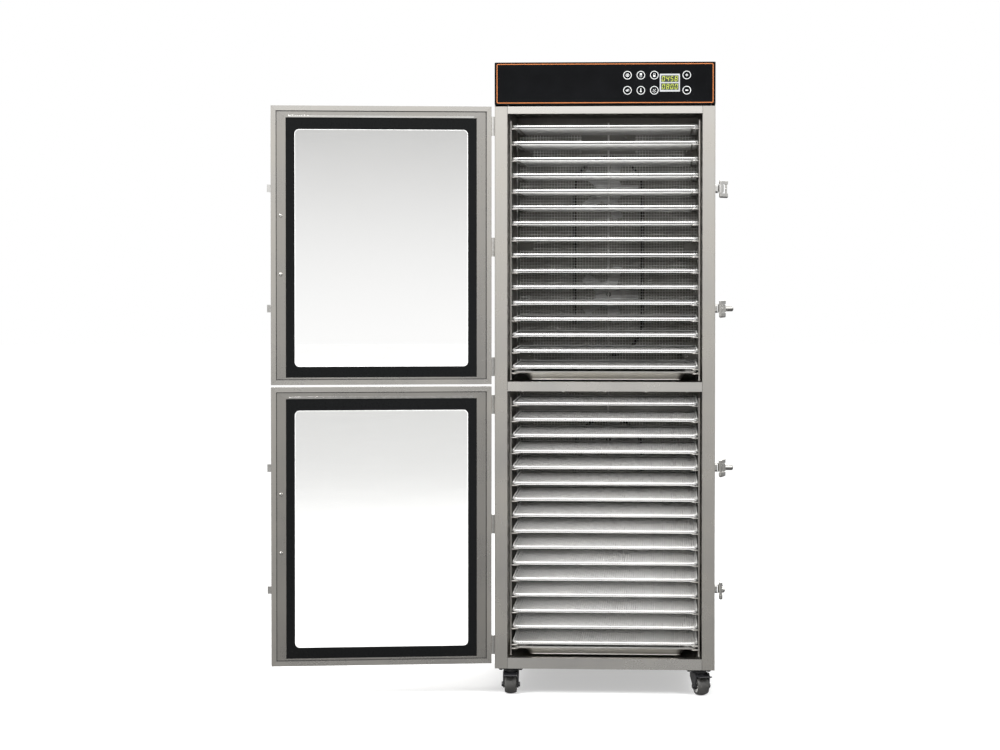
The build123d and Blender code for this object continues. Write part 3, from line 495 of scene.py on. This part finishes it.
def circle(radius, steps=28, centre=(0.0, 0.0)):
    turns = [2 * pi * k / steps for k in range(steps)]
    return [(centre[0] + radius * cos(t), centre[1] + radius * sin(t)) for t in turns]


def spoke(turn, near, far, half):
    """Outline of a radial rib from near to far of the centre, reaching half to each side."""
    corners = ((near, -half), (far, -half), (far, half), (near, half))
    return [(cos(turn) * r - sin(turn) * s, sin(turn) * r + cos(turn) * s) for r, s in corners]


# ==== Woven trays =======================================================================================
MESH_R = 0.6
ROD_R, ROD_INSET = 2.45, 3.0
UNDER = -0.55  # how much lower the second layer of wires lies
EDGE_MARGIN = 8.0  # of the weave's width, left to the rod
WRAP = ((-7.0, -4.4), (-0.5, -3.7), (2.75, -0.6), (1.7, 2.3), (-1.5, 2.5))  # outward and up, from the rod


def reach(half_along, half_across, at):
    """How far the tray's rounded outline reaches at a distance from its middle line."""
    into = abs(at) - (half_across - TRAY_CORNER)
    if into <= 0:
        return half_along
    return half_along - TRAY_CORNER + sqrt(max(TRAY_CORNER**2 - into**2, 0.0))


def woven_tray():
    """One tray around z = 0: a bent rim rod, and wires in both directions whose ends wrap round the rod."""
    tray = Shape()
    rod = rounded(TRAY_W - 2 * ROD_INSET, TRAY_D - 2 * ROD_INSET, TRAY_CORNER - ROD_INSET, 5)
    tray.tube([(x, TRAY_MIDDLE + y, 0) for x, y in rod], ROD_R, 8, closed=True)
    layers = ((True, TRAY_W / 2, TRAY_D / 2, 0.0), (False, TRAY_D / 2, TRAY_W / 2, UNDER))
    for lengthways, half_across, half_along, drop in layers:
        count = int((2 * half_across - EDGE_MARGIN) // MESH_PITCH)
        for k in range(count + 1):
            at = (k - count / 2) * MESH_PITCH
            end = reach(half_along, half_across, at) - ROD_INSET
            profile = [(end + out, up + (drop if i == 0 else 0.0)) for i, (out, up) in enumerate(WRAP)]
            line = [(-a, b) for a, b in reversed(profile)] + profile
            if lengthways:
                path = [(at, TRAY_MIDDLE + a, b) for a, b in line]
            else:
                path = [(a, TRAY_MIDDLE + at, b) for a, b in line]
            tray.tube(path, MESH_R, 4)
    return tray


tray_mesh = woven_tray().mesh("woven_tray_upper_01")
for chamber in CHAMBERS:
    for n, level in enumerate(tray_levels(chamber), start=1):
        body = f"tray_upper_{n:02d}" if chamber == "upper" else "trays_lower"
        piece = show(
            f"woven_tray_{chamber}_{n:02d}", tray_mesh, body, "mesh", 50.0, lift=level
        )
        if chamber == "upper":
            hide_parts(body)
        elif n == 1:
            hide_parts("trays_lower")

# ==== Rolled edges of the drip pans, lighter than the pan as a painted highlight ========================
PAN_RISE, PAN_DEEP = 24.0, 20.0
ROLLS = (  # width, depth, corner, height over the chamber's floor, and radius: the pan's rim, then its well
    (480.0, 396.0, 12.0, PAN_RISE + 1.2, 2.1),
    (402.0, 342.0, 14.0, PAN_RISE - PAN_DEEP + 1.5, 1.9),
)
# The rim and the well's rounded foot are a much lighter copy of the pan's steel: a painted highlight.
for chamber, (low, _high) in CHAMBERS.items():
    roll_highlight = Shape()
    for wide, deep, corner, rise, radius in ROLLS:
        line = rounded(wide, deep, corner, 5)
        roll_highlight.tube([(x, TRAY_MIDDLE + y, low + rise) for x, y in line], radius, 8, closed=True)
    roll_highlight.make(f"pan_roll_{chamber}", f"drip_pan_{chamber}", "roll_highlight", "pan_stainless", 50.0)

# ==== Front frame seams =================================================================================
SEAM_W, SEAM_OUT, SEAM_IN, SEAM_END = 0.9, 0.12, 0.1, 0.5
RAIL_TOP = FASCIA_LOW - 3.5
RAILS = (
    (BASE_Z, CHAMBERS["lower"][0]),
    (CHAMBERS["lower"][1], CHAMBERS["upper"][0]),
    (CHAMBERS["upper"][1], RAIL_TOP),
)
seams = Shape()
for foot, head in RAILS:
    for x in (-OPENING, OPENING):
        near = (x - SEAM_W / 2, FRONT - SEAM_OUT, foot + SEAM_END)
        far = (x + SEAM_W / 2, FRONT + SEAM_IN, head - SEAM_END)
        seams.box(near, far)
seams.make("frame_seams", "root", "seam_and_shadow", "brushed_stainless")

# ==== Guards, plates and fan hubs at the back of the chambers ===========================================
GUARD_PITCH, GUARD_R, GUARD_GAP, GUARD_EDGE_R = 8.0, 0.95, 3.0, 2.0
GUARD_HALF = OPENING - 1.5
UPRIGHT_Y, LEVEL_Y, EDGE_Y = GUARD_Y + 1.6, GUARD_Y + 0.5, GUARD_Y + 1.0
BAR_Y, BAR_R, BAR_GAP = GUARD_Y - 2.0, 2.8, 1.0
PLATE_FRONT, PLATE_BACK = GUARD_Y - 1.2, GUARD_Y - 0.4
TONGUE = 75.0
CEILING_PLATES = (  # half width, and how far the head and the foot are under the ceiling
    (GUARD_HALF, 1.0, 27.0), (GUARD_HALF, 56.0, 76.0), (TONGUE, 76.0, 88.0), (TONGUE, 27.0, 56.0),
)
SCREW_SHAPE = ((1.0, 0.0), (1.0, 0.35), (0.82, 0.75), (0.5, 1.0), (0.42, 0.55), (0.05, 0.5))  # out, up


def screw(shape, centre, axis, radius, height):
    """A domed screw head with a round recess, standing on a point along an axis."""
    axis = Vector(axis).normalized()
    side = axis.orthogonal().normalized()
    other = axis.cross(side)
    centre = Vector(centre)
    rings = []
    for share, lift in SCREW_SHAPE:
        rim = [side * a + other * b for a, b in circle(radius * share, 14)]
        rings.append([centre + arm + axis * height * lift for arm in rim])
    shape.rings(rings)


for chamber, (low, high) in CHAMBERS.items():
    guard = Shape()
    half = GUARD_HALF
    bottom, top = low + GUARD_GAP, high - GUARD_GAP
    columns = int(2 * half // GUARD_PITCH)
    for k in range(columns + 1):
        x = (k - columns / 2) * GUARD_PITCH
        guard.tube([(x, UPRIGHT_Y, bottom), (x, UPRIGHT_Y, top)], GUARD_R, 6)
    rows = int((top - bottom) // GUARD_PITCH)
    for k in range(rows + 1):
        z = bottom + k * GUARD_PITCH
        guard.tube([(-half, LEVEL_Y, z), (half, LEVEL_Y, z)], GUARD_R, 6)
    edge = [(x, EDGE_Y, z) for x, z in ((-half, bottom), (half, bottom), (half, top), (-half, top))]
    guard.tube(edge, GUARD_EDGE_R, 8, closed=True, upright=Vector((0, 1, 0)))
    piece = guard.make(f"guard_mesh_{chamber}", "root", "guard", "stainless_wire", 50.0)
    if chamber == "upper":
        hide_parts("fan_guards")

    bar = Shape()
    bar.tube([(0, BAR_Y, low + BAR_GAP), (0, BAR_Y, high - BAR_GAP)], BAR_R, 12)
    bar.make(f"guard_bar_{chamber}", "root", "guard", "stainless_wire")

    plates = Shape()
    for wide, head, foot in CEILING_PLATES:
        plates.box((-wide, PLATE_FRONT, high - foot), (wide, PLATE_BACK, high - head))
    middle = (low + high) / 2
    tabs = (  # distance from the middle, foot and head
        (213.0, high - 115.0, high - 76.0),
        (250.0, high - 56.0, high - 27.0),
        (212.0, middle - 4.0, middle + 16.0),
        (212.0, low + 44.0, low + 64.0),
        (212.0, low + 80.0, low + 92.0),
    )
    for side in (-1, 1):
        for inner_x, z0, z1 in tabs:
            x0, x1 = sorted((side * inner_x, side * half))
            plates.box((x0, PLATE_FRONT, z0), (x1, PLATE_BACK, z1))
    plates.make(f"guard_plates_{chamber}", "root", "plate", "liner_stainless", bevel=0.3)

    heads = Shape()
    for side in (-1, 1):
        for out, z in ((219.0, high - 83.0), (222.0, low + 53.0)):
            screw(heads, (side * out, PLATE_FRONT, z), (0, -1, 0), 4.2, 2.2)
    screw(heads, (49.0, PLATE_FRONT, high - 42.5), (0, -1, 0), 5.0, 2.4)
    heads.make(f"guard_screws_{chamber}", "root", "chrome", "chromed_fittings", 40.0)

HUB_R, HUB_WALL, BOSS_R, BORE_R, RIB_COUNT = 37.0, 3.5, 14.0, 9.0, 10
HUB_FACE = FAN_Y - 5.0
SUNK = -0.3  # how far a raised detail starts below the face under it
number = 0
for chamber, (low, high) in CHAMBERS.items():
    for offset in FAN_OFFSETS[chamber]:
        number += 1
        z = (low + high) / 2 + offset

        def on_hub(a, b, height, z=z):
            return Vector((a, HUB_FACE - height, z + b))

        hub = Shape()
        hub.band(circle(HUB_R, 48), circle(HUB_R - HUB_WALL, 48), SUNK, 1.6, on_hub)
        hub.band(circle(BOSS_R, 32), circle(BORE_R, 32), SUNK, 2.4, on_hub)
        for k in range(RIB_COUNT):
            hub.slab(spoke(2 * pi * k / RIB_COUNT, BOSS_R, HUB_R - HUB_WALL + 0.1, 0.8), SUNK, 1.3, on_hub)
        hub.make(f"fan_hub_{number}", f"fan_{number}", "fan", "fan_aluminium", bevel=0.2)
        nut = Shape()
        nut.slab(circle(7.5, 6), SUNK, 5.0, on_hub)
        nut.make(f"fan_nut_{number}", f"fan_{number}", "heater", "heater_sheath", bevel=0.5)

# ==== Control head ======================================================================================
FASCIA_FACE = FRONT - 4.0
FASCIA_MID = (FASCIA_LOW + TOP_Z) / 2


def on_fascia(a, b, height):
    return Vector((a, FASCIA_FACE - height, b))


BORDER_INSET_X, BORDER_INSET_Z, BORDER_W = 5.5, 4.0, 2.0
PRINT = (-0.1, 0.12)  # a print's layer, from just under the glass to just over it
border_w, border_h = 2 * (SIDE - BORDER_INSET_X), TOP_Z - FASCIA_LOW - 2 * BORDER_INSET_Z
border = Shape()
outer = rounded(border_w, border_h, 4.0, centre=(0, FASCIA_MID))
inner = rounded(border_w - 2 * BORDER_W, border_h - 2 * BORDER_W, 2.5, centre=(0, FASCIA_MID))
border.band(outer, inner, *PRINT, on_fascia)
border.make("fascia_border", "root", "orange", "black_gloss_panel")

ROWS = (1643.1, 1603.2)
COLUMNS = (59.7, 95.0, 130.4)
BUTTON_X = 215.8
RING_R, RING_W = 11.0, 1.5
icons = Shape()
for x in (*COLUMNS, BUTTON_X):
    for z in ROWS:
        icons.band(circle(RING_R, 40, (x, z)), circle(RING_R - RING_W, 40, (x, z)), *PRINT, on_fascia)


def stroke(shape, line, width, at=on_fascia, layer=PRINT):
    """A flat line of even width through points."""
    left, right = [], []
    for i, (a, b) in enumerate(line):
        before, after = line[max(i - 1, 0)], line[min(i + 1, len(line) - 1)]
        way = atan2(after[1] - before[1], after[0] - before[0])
        left.append((a - sin(way) * width / 2, b + cos(way) * width / 2))
        right.append((a + sin(way) * width / 2, b - cos(way) * width / 2))
    shape.slab(left + right[::-1], *layer, at)


def arc(centre, radius, start, stop, steps=12):
    turns = [radians(start + (stop - start) * k / steps) for k in range(steps + 1)]
    return [(centre[0] + radius * cos(t), centre[1] + radius * sin(t)) for t in turns]


GLYPH = 0.82  # the marks' size inside their rings
glyphs = Shape()


def on_button(a, b, height):
    """A point of a mark, drawn in towards the middle of its ring."""
    x0 = min((*COLUMNS, BUTTON_X), key=lambda c: abs(c - a))
    z0 = min(ROWS, key=lambda c: abs(c - b))
    return on_fascia(x0 + (a - x0) * GLYPH, z0 + (b - z0) * GLYPH, height)


def door_mark(x, z, size, middle, near, far):
    """A tall door with one half filled and the other half drawn as a line."""
    half = size[0] / 2 - 0.5
    glyphs.slab(rounded(*size, 0.8, 3, (x, z + middle)), *PRINT, on_button)
    outline = [(x - half, z + near), (x - half, z + far), (x + half, z + far), (x + half, z + near)]
    stroke(glyphs, outline, 1.1, on_button)


left_x, mid_x, right_x = COLUMNS
top_row, low_row = ROWS
# set: a ring round a dot
glyphs.band(circle(5.4, 32, (left_x, top_row)), circle(3.9, 32, (left_x, top_row)), *PRINT, on_button)
glyphs.slab(circle(1.9, 18, (left_x, top_row)), *PRINT, on_button)
# upper and lower chamber
door_mark(mid_x, top_row, (6.4, 6.4), 2.9, -0.8, -5.6)
door_mark(right_x, top_row, (6.8, 6.0), -2.6, 0.6, 5.4)
# air stream: three waves
for lift, wide in ((2.4, 4.6), (0.0, 6.0), (-2.6, 3.6)):
    wave = [(left_x + wide * k / 10, low_row + lift + sin(k / 10 * pi)) for k in range(-10, 11)]
    stroke(glyphs, wave, 1.2, on_button)
# thermometer
glyphs.slab(circle(2.7, 20, (mid_x, low_row - 3.2)), *PRINT, on_button)
glyphs.slab(rounded(2.6, 9.4, 1.2, 4, (mid_x, low_row + 1.6)), *PRINT, on_button)
# clock: hands over the lower half of its face
hands = [(right_x - 3.8, low_row + 3.2), (right_x, low_row - 1.0), (right_x + 4.4, low_row + 3.6)]
stroke(glyphs, hands, 1.5, on_button)
stroke(glyphs, arc((right_x, low_row), 6.0, 200, 340), 0.9, on_button)
# plus above minus
for z, bars in ((top_row, ((7.56, 3.24), (3.24, 7.56))), (low_row, ((8.91, 3.24),))):
    for wide, tall in bars:
        glyphs.slab(rounded(wide, tall, 0.7, 3, (BUTTON_X, z)), *PRINT, on_button)
glyphs.make("fascia_marks", "root", "icon", "black_gloss_panel")
icons.make("fascia_icons", "root", "icon", "black_gloss_panel")

DISPLAY_X, DISPLAY_Z = 171.2, 1623.0
READINGS = ((DISPLAY_Z + 10.6, (0, 4, 5, 8)), (DISPLAY_Z - 10.2, (0, 8, 0, 0)))
bezel, window, digits = Shape(), Shape(), Shape()
for z, _shown in READINGS:
    window.slab(rounded(46.0, 17.4, 0.8, 3, (DISPLAY_X, z)), 0.05, 0.22, on_fascia)
bezel.slab(rounded(53.0, 47.0, 1.5, 4, (DISPLAY_X, DISPLAY_Z)), -0.1, 0.14, on_fascia)
bezel.make("display_bezel", "root", "bezel", "black_gloss_panel")
window.make("display_windows", "root", "window", "black_gloss_panel")

SEGMENTS = {0: "abcdef", 4: "bcfg", 5: "acdfg", 8: "abcdefg"}
PLACES = {  # each segment's two ends, across in half widths and up in half strokes
    "a": ((-1, 2), (1, 2)), "b": ((1, 2), (1, 0)), "c": ((1, 0), (1, -2)), "d": ((-1, -2), (1, -2)),
    "e": ((-1, 0), (-1, -2)), "f": ((-1, 2), (-1, 0)), "g": ((-1, 0), (1, 0)),
}
DIGIT_PITCH, DIGIT_HALF, STROKE_HALF, STROKE_W = 11.2, 2.9, 3.2, 1.3
LEAN, TRIM = 0.5, 0.10  # of a digit to the right, and of a segment at each end
DIGIT_LAYER = (0.15, 0.30)


def segment(cx, z, ends):
    """One segment's line in the digit centred on (cx, z), a little short of its neighbours."""
    (x0, z0), (x1, z1) = [(cx + a * DIGIT_HALF + b * LEAN, z + b * STROKE_HALF) for a, b in ends]
    dx, dz = (x1 - x0) * TRIM, (z1 - z0) * TRIM
    return [(x0 + dx, z0 + dz), (x1 - dx, z1 - dz)]


for z, shown in READINGS:
    for k, value in enumerate(shown):
        cx = DISPLAY_X + (k - 1.5) * DIGIT_PITCH
        for letter in SEGMENTS[value]:
            stroke(digits, segment(cx, z, PLACES[letter]), STROKE_W, layer=DIGIT_LAYER)
digits.make("display_digits", "root", "digit", "black_gloss_panel")


# ==== Doors =============================================================================================
def in_door(u, z, n):
    """A point of a door from its distance to the hinge axis, its height, and its distance outwards."""
    return Vector((HINGE[0], HINGE[1], z)) + U_DIR * u + N_DIR * n


FRIT_SIDE, FRIT_TOP, FRIT_FOOT = 23.5, 31.0, 28.5
TUCK_SIDE, TUCK_END = 9.0, 2.0  # of the frit, hidden behind the frame
CLEAR_CORNER, LINE_W = 12.0, 1.0
ON_PANE = (PANE_N - 0.22, PANE_N - 0.04)
BEAD_W, BEAD_INSET = 6.0, 46.0
# width of the painted shadow under a door's lip
LIP_SHADOW_W = 2.2
FACE_N = INNER_N + LIP_H
for door, (low, high) in DOORS.items():
    body = f"door_{door}"
    middle = ((EDGE_U + FREE_U) / 2, (low + high) / 2)
    wide, tall = FREE_U - EDGE_U, high - low
    clear = (wide - 2 * (UPRIGHT_W + FRIT_SIDE), tall - TOP_W - FRIT_TOP - FOOT_W - FRIT_FOOT)
    glass_middle = (middle[0], middle[1] + (FOOT_W + FRIT_FOOT - TOP_W - FRIT_TOP) / 2)

    frit = Shape()
    sheet_w = clear[0] + 2 * (FRIT_SIDE + TUCK_SIDE)
    sheet_h = clear[1] + FRIT_TOP + FRIT_FOOT + 2 * TUCK_END
    sheet = rounded(sheet_w, sheet_h, 0.5, 6, glass_middle)
    opening = rounded(*clear, CLEAR_CORNER, 6, glass_middle)
    frit.band(sheet, opening, *ON_PANE, in_door)
    frit.make(f"door_frit_{door}", body, "frit", "door_glass")

    seal = Shape()
    line_w, line_h = clear[0] - 2 * LINE_W, clear[1] - 2 * LINE_W
    inside = rounded(line_w, line_h, CLEAR_CORNER - LINE_W, 6, glass_middle)
    seal.band(opening, inside, *ON_PANE, in_door)
    seal.make(f"door_line_{door}", body, "gasket", "door_glass")

    bead = Shape()
    along_top = rounded(wide - 2 * BEAD_INSET, BEAD_W, 1.0, 3, (middle[0], high - TOP_W + BEAD_W / 2))
    bead.slab(along_top, FACE_N - 0.9, FACE_N + 0.1, in_door)
    bead.make(f"door_bead_{door}", body, "chrome", "brushed_stainless", bevel=0.4)

    # A dark band at the foot of the lip: a painted shadow under the lip.
    seam_and_shadow = Shape()
    outside = rounded(wide - 2 * LIP_W + 0.2, tall - 2 * LIP_W + 0.2, 0.4, 2, middle)
    inside = rounded(wide - 2 * (LIP_W + LIP_SHADOW_W), tall - 2 * (LIP_W + LIP_SHADOW_W), 0.4, 2, middle)
    seam_and_shadow.band(outside, inside, FACE_N - 0.15, FACE_N + 0.05, in_door)
    seam_and_shadow.make(f"door_lip_shadow_{door}", body, "seam_and_shadow", "brushed_stainless")

# ==== Rear fastenings ===================================================================================
EDGE_X, EDGE_SCREW_PITCH = SIDE - 9.0, 191.0
REAR_SCREWS = [(x, BASE_Z + 40.0 + k * EDGE_SCREW_PITCH) for x in (-EDGE_X, EDGE_X) for k in range(9)]
REAR_SCREWS += [(x, z) for x in (-140.0, 0.0, 140.0) for z in (BASE_Z + 10.0, TOP_Z - 12.0, 826.0)]
rear = Shape()
for x, z in REAR_SCREWS:
    screw(rear, (x, BACK, z), (0, 1, 0), 4.0, 2.2)
rear.make("rear_screws", "root", "chrome", "chromed_fittings", 40.0)

# ==== Caster details ====================================================================================
DISC_R, LIP_R, EYE_R, SPOKES = 16.3, 14.3, 9.2, 6
for name, (x, y, turn) in CASTERS.items():
    t = radians(turn)
    axle = Vector((cos(t), sin(t), 0))
    away = Vector((sin(t), -cos(t), 0))
    centre = Vector((x, y, WHEEL_R)) + away * TRAIL
    hub = Shape()
    for side in (-1, 1):

        def on_wheel(a, b, height, side=side, centre=centre, axle=axle, away=away):
            return centre + away * a + Z_DIR * b + axle * side * (WHEEL_W / 2 - 4.0 + height)

        hub.band(circle(DISC_R, 36), circle(EYE_R, 36), SUNK, 1.4, on_wheel)
        hub.band(circle(DISC_R, 36), circle(LIP_R, 36), 0.0, 3.0, on_wheel)
        for k in range(SPOKES):
            hub.slab(spoke(2 * pi * k / SPOKES, EYE_R + 0.1, LIP_R + 0.3, 1.0), 0.0, 2.8, on_wheel)
    hub.make(f"wheel_hubs_{name}", f"caster_wheel_{name}", "hub", "caster_tyre", bevel=0.25)

# ==== Floor, backdrop, light and camera =================================================================
WHITE = (1.0, 1.0, 1.0, 1.0)


def pale_floor():
    """A matt floor bright enough to fade into the backdrop."""
    mesh = bpy.data.meshes.new("floor")
    mesh.from_pydata([(x, y, 0) for x, y in circle(30.0, 64)], [], [list(range(64))])
    g = Graph("floor_pale")
    dust = g.noise(3.0, 4.0)
    pale = g.blend(g.span(dust, 0.3, 0.7, 0.0, 1.0), (0.60, 0.60, 0.60), (0.63, 0.63, 0.63))
    g.set(Base_Color=pale, Roughness=0.9, Specular_IOR_Level=0.0)
    g.set(Emission_Color=WHITE, Emission_Strength=0.41)
    mesh.materials.append(g.material)
    floor = placed("floor", mesh)
    floor.visible_glossy = False


def white_backdrop():
    """A dome that is white to the camera and absent from the steel's reflections."""
    mesh = bpy.data.meshes.new("backdrop")
    ball = bmesh.new()
    bmesh.ops.create_uvsphere(ball, u_segments=48, v_segments=24, radius=60.0)
    ball.to_mesh(mesh)
    ball.free()
    g = Graph("backdrop_white")
    glow = g.tree.nodes.new("ShaderNodeEmission")
    glow.inputs["Color"].default_value = WHITE
    g.feed(g.tree.nodes["Material Output"].inputs["Surface"], glow.outputs[0])
    g.material.cycles.emission_sampling = "NONE"
    mesh.materials.append(g.material)
    dome = placed("backdrop", mesh)
    dome.visible_glossy = False


LEVELS = (  # the studio's brightness, from straight down (0) to straight up (1)
    (0.0, 0.07), (0.371, 0.11), (0.439, 0.19), (0.49, 0.25), (0.525, 0.60),
    (0.561, 0.82), (0.629, 1.0), (0.75, 0.8), (1.0, 0.6),
)
SIDEWAYS = (-0.06, 0.33, 1.95, 1.35)  # a direction's x from left to right, and the strength at each


def studio_world():
    """The surroundings that the steel reflects: dark below, bright above, brighter on the left."""
    world = bpy.data.worlds.new("studio")
    bpy.context.scene.world = world
    world.use_nodes = True
    tree = world.node_tree
    background = tree.nodes["Background"]
    way = tree.nodes.new("ShaderNodeTexCoord")
    split = tree.nodes.new("ShaderNodeSeparateXYZ")
    rise = tree.nodes.new("ShaderNodeValToRGB")
    share = tree.nodes.new("ShaderNodeMapRange")
    share.inputs["From Min"].default_value = -1.0
    sideways = tree.nodes.new("ShaderNodeMapRange")
    for socket, number in zip(sideways.inputs[1:5], SIDEWAYS):
        socket.default_value = number
    stops = rise.color_ramp.elements
    while len(stops) < len(LEVELS):
        stops.new(0.5)
    for stop, (at, value) in zip(stops, LEVELS):
        stop.position = at
        stop.color = (value, value * 0.995, value * 0.985, 1.0)
    tree.links.new(way.outputs["Generated"], split.inputs[0])
    tree.links.new(split.outputs[2], share.inputs[0])
    tree.links.new(share.outputs[0], rise.inputs[0])
    tree.links.new(rise.outputs[0], background.inputs[0])
    tree.links.new(split.outputs[0], sideways.inputs[0])
    tree.links.new(sideways.outputs[0], background.inputs[1])


def aim(lamp, place, target):
    """Stand a light at a place and point it at a target."""
    lamp.location = place
    lamp.rotation_euler = (Vector(target) - Vector(place)).to_track_quat("-Z", "Y").to_euler()


def softbox(name, place, target, size, power):
    """A soft square light that the camera doesn't see."""
    light = bpy.data.lights.new(name, "AREA")
    light.size = size
    light.energy = power
    lamp = placed(name, light)
    aim(lamp, place, target)
    lamp.visible_camera = False


def chamber_beam():
    """A narrow light that reaches the back of the chambers, with no glare on the steel."""
    beam = bpy.data.lights.new("chamber_beam", "SPOT")
    beam.energy = 1000.0
    beam.spot_size = radians(12.8)
    beam.spot_blend = 0.2
    beam.shadow_soft_size = 0.25
    torch = placed("chamber_beam", beam)
    aim(torch, (0.2, -7.6, 1.6), (0.0, FRONT / 1000, 0.95))
    torch.visible_glossy = False


def front_camera():
    """A long lens, a little to the right of the cabinet's middle, with its frame shifted down."""
    camera = bpy.data.cameras.new("camera")
    camera.lens = 95.9
    camera.shift_y = -0.06
    camera.sensor_width = 36.0
    camera.clip_end = 200.0
    eye = placed("camera", camera)
    eye.location = (0.1606, -7.3426, 1.1527)
    eye.rotation_euler = (radians(90 - 1.157), 0.0, radians(3.556))
    bpy.context.scene.camera = eye


pale_floor()
white_backdrop()
studio_world()
softbox("key", (-1.7, -3.0, 5.0), (0, 0, 0.9), 1.8, 260.0)
softbox("fill_left", (-3.9, -4.6, 4.4), (0, 0, 0.9), 1.6, 170.0)
softbox("fill_right", (4.1, -4.4, 4.2), (0, 0, 0.8), 1.6, 170.0)
softbox("rim", (1.5, 4.0, 3.4), (0, 0, 0.9), 2.6, 120.0)
chamber_beam()
front_camera()
bpy.context.scene.view_settings.view_transform = "Standard"

bpy.context.view_layer.update()
